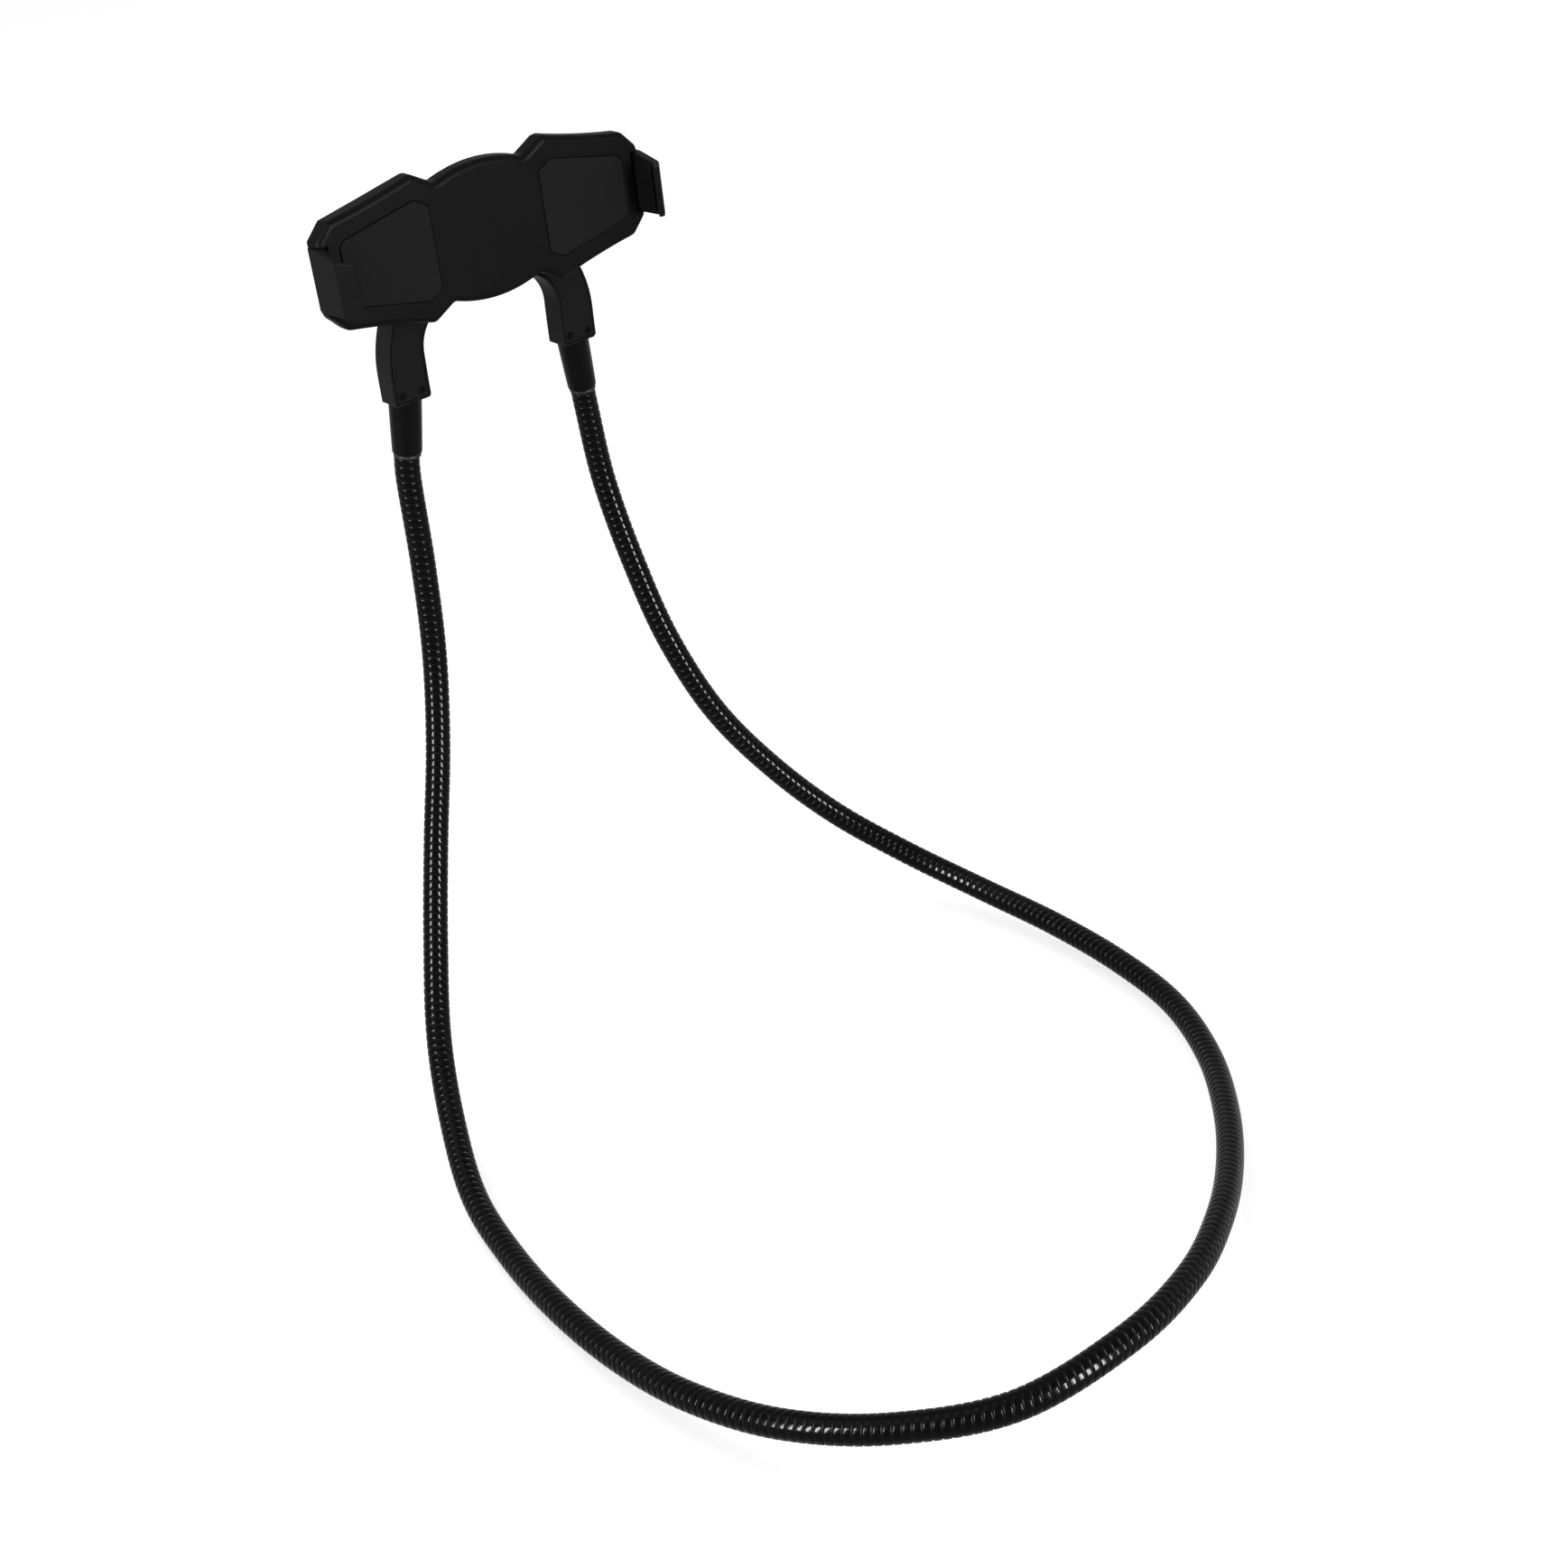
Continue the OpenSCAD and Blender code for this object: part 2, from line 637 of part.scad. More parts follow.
module leg_screws() {
    color([0.3, 0.3, 0.3]) placed() for (x = leg_screw_x)
        screw(leg_screw_d, leg_head_d, leg_screw_l, leg_screw_y + snug_gap, -1, x, leg_screw_z);
}

module yoke_screws() {
    color([0.3, 0.3, 0.3]) placed() for (sx = [-1, 1])
        screw(cover_screw_d, cover_head_d, leg_d - yoke_cover_t / 2, yoke_y + leg_d, 1,
              sx * yoke_screw_x, yoke_screw_z);
}

// Swivel

module washer(outer, inner, y0, y1) {
    difference() {
        shaft(outer, y0, y1);
        shaft(inner, y0 - over, y1 + over);
    }
}

module friction_washer() {
    color([0.85, 0.85, 0.8]) placed()
        washer(friction_d / 2, spigot_d / 2 + run_gap, plate_t + thrust_gap, yoke_y);
}

module wave_washer() {
    color([0.7, 0.7, 0.7]) placed()
        washer(retainer_d / 2 - fit_gap, spigot_d / 2 + run_gap, hub_seat, spigot_end - thrust_gap);
}

module retaining_washer() {
    color([0.7, 0.7, 0.7]) placed() washer(retainer_d / 2, pivot_d / 2 + run_gap, spigot_end, retainer_end);
}

module pivot_screw() {
    color([0.6, 0.6, 0.6]) placed() difference() {
        union() {
            shaft(pivot_d / 2, plate_t + over, retainer_end + snug_gap);
            shaft(pivot_head_d / 2, retainer_end, retainer_end + pivot_head_h);
        }
        for (a = [0, 90]) rotate([0, a, 0])
            block([-pivot_head_d * slot_share / 2, retainer_end + pivot_head_h / 2, -slot_w],
                  [pivot_head_d * slot_share / 2, retainer_end + pivot_head_h + over, slot_w]);
    }
}

module hub_cap() {
    color([0.12, 0.12, 0.12]) placed() difference() {
        union() {
            shaft(cap_d / 2, hub_back, hub_back + cap_t);
            shaft(hub_bore_d / 2 - snug_gap, hub_back - cap_t, hub_back + snug_gap);
        }
        shaft(hub_bore_d / 2 - cap_t, hub_back - cap_t - over, hub_back);
    }
}

// Plugs, sleeves and rings, drawn along Z and turned to their sleeve's axis

module sleeve_turn(sx) {
    rotate([sleeve_tilt, sx * -splay, 0]) children();
}

module along_sleeve(sx, d) {
    placed() translate(sleeve_point(sx, d)) sleeve_turn(sx) children();
}

module plug(sx) {
    color([0.6, 0.6, 0.6]) {
        along_sleeve(sx, 0) translate([0, 0, -(sleeve_l - seat_l) - stem_in])
            cylinder(d = stem_d, h = sleeve_l - seat_l + stem_in + head_up + fit_gap);
        intersection() {
            along_sleeve(sx, 0) translate([-plug_w / 2, -plug_d / 2, head_up])
                cube([plug_w, plug_d, plug_h]);
            placed() leaning(yoke_cover_t + fit_gap, leg_d - yoke_wall - fit_gap);
        }
    }
}

module sleeve(sx) {
    top = sleeve_top_d / 2;
    neck = stem_d / 2 + run_gap;
    color([0.07, 0.07, 0.07]) difference() {
        along_sleeve(sx, sleeve_l) rotate_extrude()
            polygon([[sleeve_bore, 0], [sleeve_end_d / 2, 0], [top, sleeve_l], [top, sleeve_l + over],
                     [neck, sleeve_l + over], [neck, seat_l], [sleeve_bore, seat_l]]);
        placed() translate([sx * leg_x - sleeve_top_d, 0, -leg_drop])
            cube([2 * sleeve_top_d, hub_back + leg_d, sleeve_top_d]);
    }
}

module sleeve_ring(sx) {
    color([0.75, 0.75, 0.75]) along_sleeve(sx, sleeve_l + ring_l) difference() {
        cylinder(d = ring_d, h = ring_l);
        translate([0, 0, -over]) cylinder(r = sleeve_bore, h = ring_l + 2 * over);
    }
}

// Gooseneck: one hollow ribbed tube swept along its route

function sleeve_run(sx) = [for (d = [2 * run_gap - seat_l, -hose_d / 2, hose_d])
    sleeve_point(sx, sleeve_l + d)];
function reversed(points) = [for (i = [len(points) - 1:-1:0]) points[i]];
route = concat(sleeve_run(-1), neck_route, reversed(sleeve_run(1)));

// Catmull-Rom curve through a point list, at u from 0 to the last index
function knot(points, i) = let (n = len(points) - 1)
    i < 0 ? 2 * points[0] - points[1] : i > n ? 2 * points[n] - points[n - 1] : points[i];
function curve(points, u) = let (i = min(floor(u), len(points) - 2), t = u - i,
        a = knot(points, i - 1), b = knot(points, i), c = knot(points, i + 1), d = knot(points, i + 2))
    b + (c - a) * t / 2 + (a - 2.5 * b + 2 * c - d / 2) * t * t + (1.5 * (b - c) + (d - a) / 2) * t * t * t;

// Even steps along the curve, from a fine walk along it
walk_steps = 12;
walk = [for (i = [0:(len(route) - 1) * walk_steps]) curve(route, i / walk_steps)];
walk_n = len(walk) - 1;
// Length of the walk up to each of its points
walk_at = [for (i = 0, s = 0; i <= walk_n; s = s + norm(walk[min(i + 1, walk_n)] - walk[i]), i = i + 1) s];
hose_l = walk_at[walk_n];
ring_n = 2 * rib_count;
ring_pitch = hose_l / ring_n;
// Step of the walk, between the steps a and b, that holds the length s
function step_of(s, a, b) = b - a <= 1 ? a :
    let (m = floor((a + b) / 2)) walk_at[m] <= s ? step_of(s, m, b) : step_of(s, a, m);
// Point at the length s, inside the step i
function spot(s, i) = let (t = (s - walk_at[i]) / (walk_at[i + 1] - walk_at[i]))
    walk[i] + (walk[i + 1] - walk[i]) * t;
centres = [for (k = [0:ring_n]) let (s = k * ring_pitch) spot(s, step_of(s, 0, walk_n))];
function unit(v) = v / norm(v);
tangents = [for (k = [0:ring_n]) unit(centres[min(k + 1, ring_n)] - centres[max(k - 1, 0)])];
// One side direction, carried along the tube without twist
function square_to(v, t) = unit(v - (v * t) * t);
sides = [for (k = 0, n = square_to([0, 1, 0], tangents[0]); k <= ring_n;
        k = k + 1, n = square_to(n, tangents[min(k, ring_n)])) n];
function ring_points(k, r) = [for (j = [0:hose_sides - 1]) let (a = 360 * j / hose_sides)
    centres[k] + r * (cos(a) * sides[k] + sin(a) * cross(tangents[k], sides[k]))];
function rib_r(k) = k % 2 == 1 ? hose_r : groove_r;

// Triangles of a tube's wall between rings of points that start at index base
function wall_faces(base, rings, flip) = [for (k = [0:rings - 2]) for (j = [0:hose_sides - 1])
    let (a = base + k * hose_sides + j, b = base + k * hose_sides + (j + 1) % hose_sides,
         c = a + hose_sides, d = b + hose_sides)
    each flip ? [[a, b, c], [b, d, c]] : [[a, c, b], [b, c, d]]];
// Triangles of the flat end between an outer ring and a bore ring
function end_faces(outer, inner, flip) = [for (j = [0:hose_sides - 1])
    let (a = outer + j, b = outer + (j + 1) % hose_sides, c = inner + j, d = inner + (j + 1) % hose_sides)
    each flip ? [[a, c, b], [b, c, d]] : [[a, b, c], [b, d, c]]];

module gooseneck() {
    bore_rings = [for (k = [0:bore_step:ring_n]) k];
    outer_n = ring_n + 1;
    bore_n = len(bore_rings);
    points = concat([for (k = [0:ring_n]) each ring_points(k, rib_r(k))],
                    [for (k = bore_rings) each ring_points(k, hose_bore / 2)]);
    base = outer_n * hose_sides;
    color([0.05, 0.05, 0.05]) placed() polyhedron(points, concat(
        wall_faces(0, outer_n, false), wall_faces(base, bore_n, true),
        end_faces(0, base, false),
        end_faces((outer_n - 1) * hose_sides, base + (bore_n - 1) * hose_sides, true)));
}

front_cover();
rear_cover();
face_pad(-1);  // left_face_pad
face_pad(1);  // right_face_pad
cover_screws();
hook(-1);  // left_hook
hook(1);  // right_hook
hook_pad(-1);  // left_hook_pad
hook_pad(1);  // right_hook_pad
spring(-1);  // left_spring
spring(1);  // right_spring
yoke_shell();
yoke_cover();
leg_screws();
yoke_screws();
friction_washer();
wave_washer();
retaining_washer();
pivot_screw();
hub_cap();
plug(-1);  // left_plug
plug(1);  // right_plug
sleeve(-1);  // left_sleeve
sleeve(1);  // right_sleeve
sleeve_ring(-1);  // left_ring
sleeve_ring(1);  // right_ring
gooseneck();
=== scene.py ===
"""Finished pieces, materials and a plain studio for the neck phone holder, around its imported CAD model."""

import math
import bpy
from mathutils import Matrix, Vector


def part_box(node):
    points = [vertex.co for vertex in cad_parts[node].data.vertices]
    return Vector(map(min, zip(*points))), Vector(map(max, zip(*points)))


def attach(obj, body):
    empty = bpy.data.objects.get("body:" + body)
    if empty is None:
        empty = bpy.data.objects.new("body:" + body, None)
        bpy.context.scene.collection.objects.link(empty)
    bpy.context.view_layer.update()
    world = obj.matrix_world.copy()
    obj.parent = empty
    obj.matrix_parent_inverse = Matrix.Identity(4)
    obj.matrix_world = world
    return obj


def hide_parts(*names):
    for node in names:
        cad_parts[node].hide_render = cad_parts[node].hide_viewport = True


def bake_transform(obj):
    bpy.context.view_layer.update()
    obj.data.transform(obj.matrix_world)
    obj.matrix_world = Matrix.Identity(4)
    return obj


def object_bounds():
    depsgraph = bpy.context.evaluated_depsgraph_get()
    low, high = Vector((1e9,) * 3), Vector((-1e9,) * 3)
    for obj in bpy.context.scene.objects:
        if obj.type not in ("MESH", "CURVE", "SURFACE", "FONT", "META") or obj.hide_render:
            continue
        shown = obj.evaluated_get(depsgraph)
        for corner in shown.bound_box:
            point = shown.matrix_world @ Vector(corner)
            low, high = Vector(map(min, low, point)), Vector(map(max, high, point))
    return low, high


bl_info = {
    "name": "Neck phone holder",
    "version": (1, 0, 0),
    "blender": (4, 5, 0),
    "location": "3D View > Sidebar > Holder",
    "description": "Dresses the packed neck phone holder with finished pieces, materials and a studio",
    "category": "Object",
}

import bmesh
import bpy
import numpy as np
from bpy.props import FloatProperty, FloatVectorProperty, IntProperty, PointerProperty
from mathutils import Matrix, Vector

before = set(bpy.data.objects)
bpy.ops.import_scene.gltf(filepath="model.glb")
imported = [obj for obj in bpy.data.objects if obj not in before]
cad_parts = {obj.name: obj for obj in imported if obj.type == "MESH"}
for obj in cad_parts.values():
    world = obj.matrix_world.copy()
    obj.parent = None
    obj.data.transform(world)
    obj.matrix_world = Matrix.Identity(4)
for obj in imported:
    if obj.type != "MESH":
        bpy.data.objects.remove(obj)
cad_box = [list(corner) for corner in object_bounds()]

MM = 0.001
SIDES = {"left": -1, "right": 1}

# Rounded pieces are cut to envelopes that lie this far inside the CAD's surfaces
SKIN = 0.04 * MM
# Points this close are one point: on a CAD mesh, on a turned or cut one, and where turns or a foot's rim join
CAD_MERGE = 0.003 * MM
MERGE = 0.001 * MM
JOIN_MERGE = 0.01 * MM
# Points this close to a plane lie in it, edges this close to a face are its own, and others lie clear of it
FLUSH = 0.01 * MM
NEAR = 0.05 * MM
CLEAR = 0.2 * MM


def clamp_centre():
    """The middle of the plate's face, which the clamp and the yoke are drawn about."""
    low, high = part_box("front_cover")
    return Vector(((low.x + high.x) / 2, low.y, (low.z + high.z) / 2))


CENTRE = clamp_centre()

# Depths behind the plate's face, where the rear cover's envelope starts too, and the legs' own depth
PLATE_BACK = 7.2 * MM
REAR_FRONT = 0.5 * MM
YOKE_FRONT = 8.0 * MM
LEG_DEPTH = 8.5 * MM
HUB_BACK = 18.5 * MM
# The yoke's envelope and its hub's start this far in front of the yoke, whose front rim is this deep
OVERRUN = 2 * MM
HUB_OVERLAP = 1 * MM
RIM_DEPTH = 0.1 * MM

# The plate's outline in millimetres, as X and Z from the clamp's centre: a wing's corners from the right end
# inwards, the corner where the waist starts, how far the waist swells, and how hollow a wing's long edge is
PLATE_CORNERS = [(57, 10.7), (52, 15.9), (23.2, 22)]
WAIST_HALF = (15.6, 17.7)
WAIST_RISE = 2.8
WAIST_STEPS = 24
WING_DIP = 0.5
WING_STEPS = 6
# How far from there a cover's own waist corner may lie
WAIST_SLACK = (0.2, 1.2)
# The corners of the pads' pockets lie nearer to the centre than this, and are no deeper than this
POCKET_REACH = 51 * MM
POCKET_DEEPEST = 1.2 * MM

# A hook's wall, and the depths past which its bend and its rails lie, from the plate's face
HOOK_WALL = 2.6 * MM
BEND_DEPTH = -5 * MM
RAIL_DEPTH = 5 * MM

# The springs: turns doubled from one, facets round the wire, steps in a turn and round an eye, the gap between
# coil and eye, and the length of each end that doesn't stretch
SPRING_DOUBLINGS = 6
WIRE_SIDES = 6
COIL_STEPS = 14
EYE_STEPS = 16
EYE_GAP = 0.5 * MM

# The yoke's arch, from the clamp's centre
ARCH_RADIUS = 37.7 * MM
ARCH_CENTRE_Z = -36.7 * MM
LEG_INNER_X = 24.9 * MM
LEG_FOOT_Z = -46 * MM
ARCH_UNDER_Z = -19 * MM
ARCH_FILLET = 13 * MM
LEG_LEAN = 1.1 * MM
LEAN_STEPS = 10
HUB_RADIUS = 12 * MM
HUB_HOLE = 8 * MM

# The hub cap: the step in to its plug, the plug's wall, its soft rim, its sunk face and the groove in that
CAP_STEP = 1.7 * MM
CAP_WALL = 1.2 * MM
CAP_SOFT = 0.5 * MM
CAP_SINK = 0.05 * MM
CAP_GROOVE = 0.18 * MM

# The leg screws, either side of the middle of a leg, and the radius that a countersink keeps within
LEG_X = 31.3 * MM
LEG_SCREW_X = 3.5 * MM
LEG_SCREW_Z = -43.1 * MM
LEG_SCREW_REACH = 1.6 * MM

# A sleeve's axis crosses the middle of its leg's hollow, in depth and height, between the two leg screws
SLEEVE_CROSSING = (13.55 * MM, LEG_SCREW_Z)
SPLAY = math.radians(6.5)
TILT = math.radians(5)
# A sleeve below its leg, its stub above that, the gooseneck's seat, the core above the seat, and small edges
SLEEVE_LENGTH = 17 * MM
SLEEVE_STUB = 2 * MM
SEAT_LENGTH = 12 * MM
SEAT_RADIUS = 4.05 * MM
CORE_RADIUS = 1.95 * MM
SEAT_MOUTH = 0.15 * MM
LIP_FLAT = 0.05 * MM
RING_SOFT = 0.12 * MM
# Points on a sleeve's axis, in millimetres past its end, that the gooseneck passes through
SEAT_POINTS = (-11.9, -4, 8)

# The gooseneck's route from the left arm round to the right one, in millimetres from the clamp's centre
NECK_ROUTE = [
    (-36, 15, -100), (-40, 12, -129), (-49, 5, -156), (-63, -7, -181), (-77, -20, -206), (-91, -36, -228),
    (-103, -57, -243), (-114, -83, -251), (-120, -111, -253), (-124, -141, -251), (-125, -171, -248),
    (-123, -200, -243), (-115, -228, -238), (-99, -252, -234), (-74, -271, -231), (-40, -277, -229),
    (-10, -272, -232), (15, -261, -236), (38, -246, -241), (60, -227, -245), (80, -204, -248),
    (94, -178, -249), (100, -150, -249), (101, -120, -248), (97, -90, -245), (88, -63, -237),
    (74, -42, -222), (59, -28, -201), (46, -17, -177), (38, -7, -150), (36, 4, -124), (35, 13, -96),
]
ROUTE_STEPS = 24

# One turn of the winding, a broad, nearly flat wire and a thin one, as shares of the pitch and of the
# groove's depth
WINDING = [(0.00, 1.00), (0.05, 0.35), (0.10, 0.10), (0.20, 0.02), (0.46, 0.00), (0.72, 0.02), (0.82, 0.10),
           (0.87, 0.35), (0.92, 1.00), (0.96, 0.85), (1.00, 1.00)]
# Turns that are wound past each end and cut off, and the facets and rings of the bore
SPARE_TURNS = 2
BORE_SIDES = 12
BORE_CUTS = 240

# The lamps: name, the property that holds the power, size, place, and whether the lamp only draws shine
LAMPS = [
    ("Key", "key", (1.1, 1.1), (-0.3, 0.5, 1.6), False),
    ("Left", "left", (0.7, 0.9), (-1.5, 0.2, 0.7), False),
    ("Right", "right", (0.7, 0.9), (1.4, -0.2, 0.6), False),
    ("Left strip", "strip", (0.2, 0.8), (-1.23, 0.09, 0.72), True),
    ("Right strip", "strip", (0.2, 0.8), (0.27, -1.18, 0.51), True),
]
LAMP_TARGET = Vector((0.03, 0.14, 0.11))

# The camera at the photograph's angle: its place, and its own X, Y and Z
CAMERA_PLACE = (-0.29746, -0.26867, 0.40663)
CAMERA_AXES = ((0.7500, -0.6541, -0.0978), (0.4001, 0.3309, 0.8547), (-0.5267, -0.6802, 0.5099))

# The floor's half width in metres, its gap below the holder, and the glow that whitens it where it shows
FLOOR_HALF = 30
FLOOR_GAP = 0.5 * MM
FLOOR_GLOW = 0.53


def length(name, default, description):
    """A property for a small size, given here in millimetres."""
    return FloatProperty(name=name, description=description, default=default * MM, min=0, max=20 * MM,
                         subtype="DISTANCE", unit="LENGTH", precision=5)


def colour(name, default, description):
    """A property for a colour, as linear values."""
    return FloatVectorProperty(name=name, description=description, default=default, size=3, min=0, max=1,
                               subtype="COLOR")


def power(name, default, description):
    """A property for a lamp's power in watts."""
    return FloatProperty(name=name, description=description, default=default, min=0, max=300, subtype="POWER",
                         unit="POWER")


class HolderClampLook(bpy.types.PropertyGroup):
    """Roundings of the clamp's pieces"""
    corner: length("Plate corners", 1.0, "How far a corner of the plate's outline is rounded")
    front_edge: length("Front edge", 2.0, "Radius round the front of the plate")
    back_edge: length("Back edge", 0.7, "Radius round the back of the plate")
    pocket_edge: length("Pocket edge", 0.12, "Radius of the lip round a face pad's pocket")
    pad_corner: length("Pad corners", 0.6, "How far a corner of a face pad is rounded")
    pad_edge: length("Pad edge", 0.25, "Radius round a face pad's front")
    hook_bend: length("Hook bend", 0.9, "Radius of a hook's bend")
    hook_edge: length("Hook edges", 0.3, "Radius of a hook's other edges")
    hook_pad_corner: length("Hook pad corners", 1.4, "Radius of the corners of a hook's pad")
    spring_wire: length("Spring wire", 0.5, "Diameter of the spring's wire")
    spring_body: length("Spring body", 3.4, "Outer diameter of the spring's coil")


class HolderYokeLook(bpy.types.PropertyGroup):
    """Roundings of the yoke's pieces"""
    back_edge: length("Back edge", 1.0, "Radius round the back of the yoke")
    foot_corner: length("Leg corners", 1.1, "Radius of the corners at the foot of a leg")
    rim_edge: length("Front rim", 0.10, "Radius of the rim that shows round the cover")
    cover_edge: length("Cover edge", 0.12, "Radius round the yoke's cover")
    hub_edge: length("Hub edge", 0.6, "Radius round the back of the hub")
    sleeve_top: length("Sleeve at the leg", 10.2, "Diameter of a sleeve where it leaves its leg")
    sleeve_end: length("Sleeve's end", 9.3, "Diameter of a sleeve at its lower end")
    sleeve_lip: length("Sleeve lip", 0.85, "Radius round a sleeve's lower end")
    ring_diameter: length("Ring", 8.5, "Outer diameter of the plated ring below a sleeve")
    ring_length: length("Ring length", 0.9, "Length of the plated ring")


class HolderGooseneckLook(bpy.types.PropertyGroup):
    """Sizes of the gooseneck's winding"""
    pitch: length("Pitch", 2.44, "Length that one turn of the winding takes")
    diameter: length("Diameter", 8.0, "Outer diameter of the gooseneck")
    groove: length("Groove", 0.30, "Depth of the groove between two turns")
    bore: length("Bore", 4.6, "Bore of the gooseneck")
    sides: IntProperty(name="Sides", description="Facets in one turn of the winding", default=22, min=12,
                       max=26)


class HolderFinish(bpy.types.PropertyGroup):
    """Colours of the holder's materials, as linear values"""
    plate: colour("Plate", (0.0049, 0.0049, 0.0051), "Moulded plastic of the plate's covers")
    # Painted light: the yoke is made lighter than the plate and its own cover, to stand for the light on its
    # legs' left sides
    yoke: colour("Yoke", (0.0140, 0.0140, 0.0144), "Moulded plastic of the yoke's shell")
    yoke_cover: colour("Yoke cover", (0.0105, 0.0105, 0.0108), "Moulded plastic of the yoke's cover")
    # Painted light: the hooks are the plate's plastic, made lighter to stand for the light that falls on their
    # walls from the left
    hook: colour("Hooks", (0.0085, 0.0085, 0.0087), "Moulded plastic of the sliding hooks")
    hook_pad: colour("Hook pads", (0.0048, 0.0048, 0.0050), "Soft pads on the hooks' walls")
    pad: colour("Pads", (0.0150, 0.0150, 0.0154), "Soft rubber of the face pads")
    sleeve: colour("Sleeves", (0.0031, 0.0031, 0.0032), "Half gloss plastic of the sleeves")
    coat: colour("Gooseneck", (0.0012, 0.0012, 0.0013), "Gloss black coat of the gooseneck")
    # Partly painted shade: the screws are black, and darker still so that they read as the shade in their
    # recesses
    screw: colour("Screws", (0.0020, 0.0020, 0.0022), "Black oxide of the screws")
    steel: colour("Steel", (0.56, 0.56, 0.57), "Plain steel of the springs and washers")
    alloy: colour("Alloy", (0.616, 0.616, 0.627), "Turned alloy of the gooseneck's plugs")
    ring: colour("Rings", (0.014, 0.014, 0.0145), "Black nickel of the rings below the sleeves")
    nylon: colour("Nylon", (0.72, 0.70, 0.64), "Natural nylon of the friction washer")


class HolderStudio(bpy.types.PropertyGroup):
    """Light, floor and camera"""
    sky: FloatProperty(name="Sky", description="Light that comes evenly from all round", default=0.5, min=0,
                       max=2)
    key: power("Key light", 7, "Power of the large light above")
    left: power("Left light", 3.5, "Power of the light on the left")
    right: power("Right light", 2.5, "Power of the light on the right")
    strip: power("Strip lights", 100, "Power of a tall light that only draws shine")
    floor: colour("Floor", (0.82, 0.82, 0.82), "The floor's own colour")
    lens: FloatProperty(name="Lens", description="Focal length on a 36 mm sensor, in millimetres",
                        default=49.74, min=20, max=200)


# Mesh making


def whole(bm):
    return bm.verts[:] + bm.edges[:] + bm.faces[:]


def verts_of(geom):
    return [g for g in geom if isinstance(g, bmesh.types.BMVert)]


def shift(bm, by):
    bmesh.ops.translate(bm, verts=bm.verts, vec=by)


def quarter_turn(bm, axis, quarters=1):
    """Turns a mesh about an axis through the origin."""
    turn = Matrix.Rotation(quarters * math.pi / 2, 3, axis)
    bmesh.ops.rotate(bm, verts=bm.verts, cent=(0, 0, 0), matrix=turn)


def merged_copy(node):
    """A copy of a CAD node's mesh, merged, with its flat faces joined up again."""
    bm = bmesh.new()
    bm.from_mesh(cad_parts[node].data)
    bmesh.ops.remove_doubles(bm, verts=bm.verts, dist=CAD_MERGE)
    bmesh.ops.dissolve_limit(bm, angle_limit=math.radians(0.5), verts=bm.verts, edges=bm.edges)
    return bm


def middle(edge):
    return (edge.verts[0].co + edge.verts[1].co) / 2


def sharp_edges(bm, least=25):
    """Edges whose two faces meet at more than that many degrees."""
    return [e for e in bm.edges if len(e.link_faces) == 2 and e.calc_face_angle(0) > math.radians(least)]


def upright(edge, axis=1):
    """True for an edge that runs straight along Y, or another axis."""
    run = edge.verts[1].co - edge.verts[0].co
    return abs(run[axis]) > 0.999 * run.length


def lies_at(edge, place, axis=1):
    """True for an edge whose ends both lie at a place along Y, or another axis."""
    return all(abs(v.co[axis] - place) < FLUSH for v in edge.verts)


def edges_at(bm, place, axis=1, least=25):
    """The sharp edges that lie at a place along Y, or another axis."""
    return [e for e in sharp_edges(bm, least) if lies_at(e, place, axis)]


def corners(bm, least=20):
    """The sharp edges that run straight from front to back."""
    return [e for e in sharp_edges(bm, least) if upright(e)]


def round_off(bm, edges, radius, segments):
    """Bevels the edges, and raises an error where none were found."""
    if not edges:
        raise RuntimeError("no edges were found to round off")
    bmesh.ops.bevel(bm, geom=edges, offset=radius, offset_type="OFFSET", affect="EDGES", segments=segments,
                    profile=0.5, material=-1, clamp_overlap=False, loop_slide=True)


def arc(centre, radius, start, end, steps):
    """Points on a circle, from one angle in degrees to another."""
    return [(centre[0] + radius * math.cos(math.radians(a)), centre[1] + radius * math.sin(math.radians(a)))
            for a in (start + (end - start) * i / steps for i in range(steps + 1))]


def prism(outline, front, back, skin=SKIN):
    """A solid between two depths, a skin inside an outline of X and Z points about the clamp's centre."""
    bm = bmesh.new()
    face = bm.faces.new([bm.verts.new((CENTRE.x + x, front, CENTRE.z + z)) for x, z in outline])
    rim = bmesh.ops.inset_individual(bm, faces=[face], thickness=skin, use_even_offset=True)["faces"]
    bmesh.ops.delete(bm, geom=rim, context="FACES")
    grown = bmesh.ops.extrude_face_region(bm, geom=[face])["geom"]
    bmesh.ops.translate(bm, verts=verts_of(grown), vec=(0, back - front, 0))
    bmesh.ops.recalc_face_normals(bm, faces=bm.faces)
    return bm


def turned(section, steps, closed=True):
    """A solid turned about Z from radius and height points, which make a loop or run from axis to axis."""
    bm = bmesh.new()
    verts = [bm.verts.new((r, 0, z)) for r, z in section]
    edges = [bm.edges.new(pair) for pair in zip(verts, verts[1:])]
    if closed:
        edges.append(bm.edges.new((verts[-1], verts[0])))
    bmesh.ops.spin(bm, geom=verts + edges, cent=(0, 0, 0), axis=(0, 0, 1), angle=2 * math.pi, steps=steps,
                   use_merge=True)
    merge(bm, MERGE)
    return bm


def wind_turn(bm, pitch, steps, hand):
    """Winds the section that bm holds once round Z, right-handed for 1 and left-handed for -1."""
    bmesh.ops.spin(bm, geom=whole(bm), cent=(0, 0, 0), axis=(0, 0, 1), dvec=(0, 0, pitch / steps),
                   angle=hand * 2 * math.pi, steps=steps)


def repeat_turn(bm, pitch, doublings):
    """Doubles one turn of a winding along Z that many times, and joins the turns up."""
    for k in range(doublings):
        copy = bmesh.ops.duplicate(bm, geom=whole(bm))["geom"]
        bmesh.ops.translate(bm, verts=verts_of(copy), vec=(0, 0, pitch * 2 ** k))
    bmesh.ops.remove_doubles(bm, verts=bm.verts, dist=JOIN_MERGE)


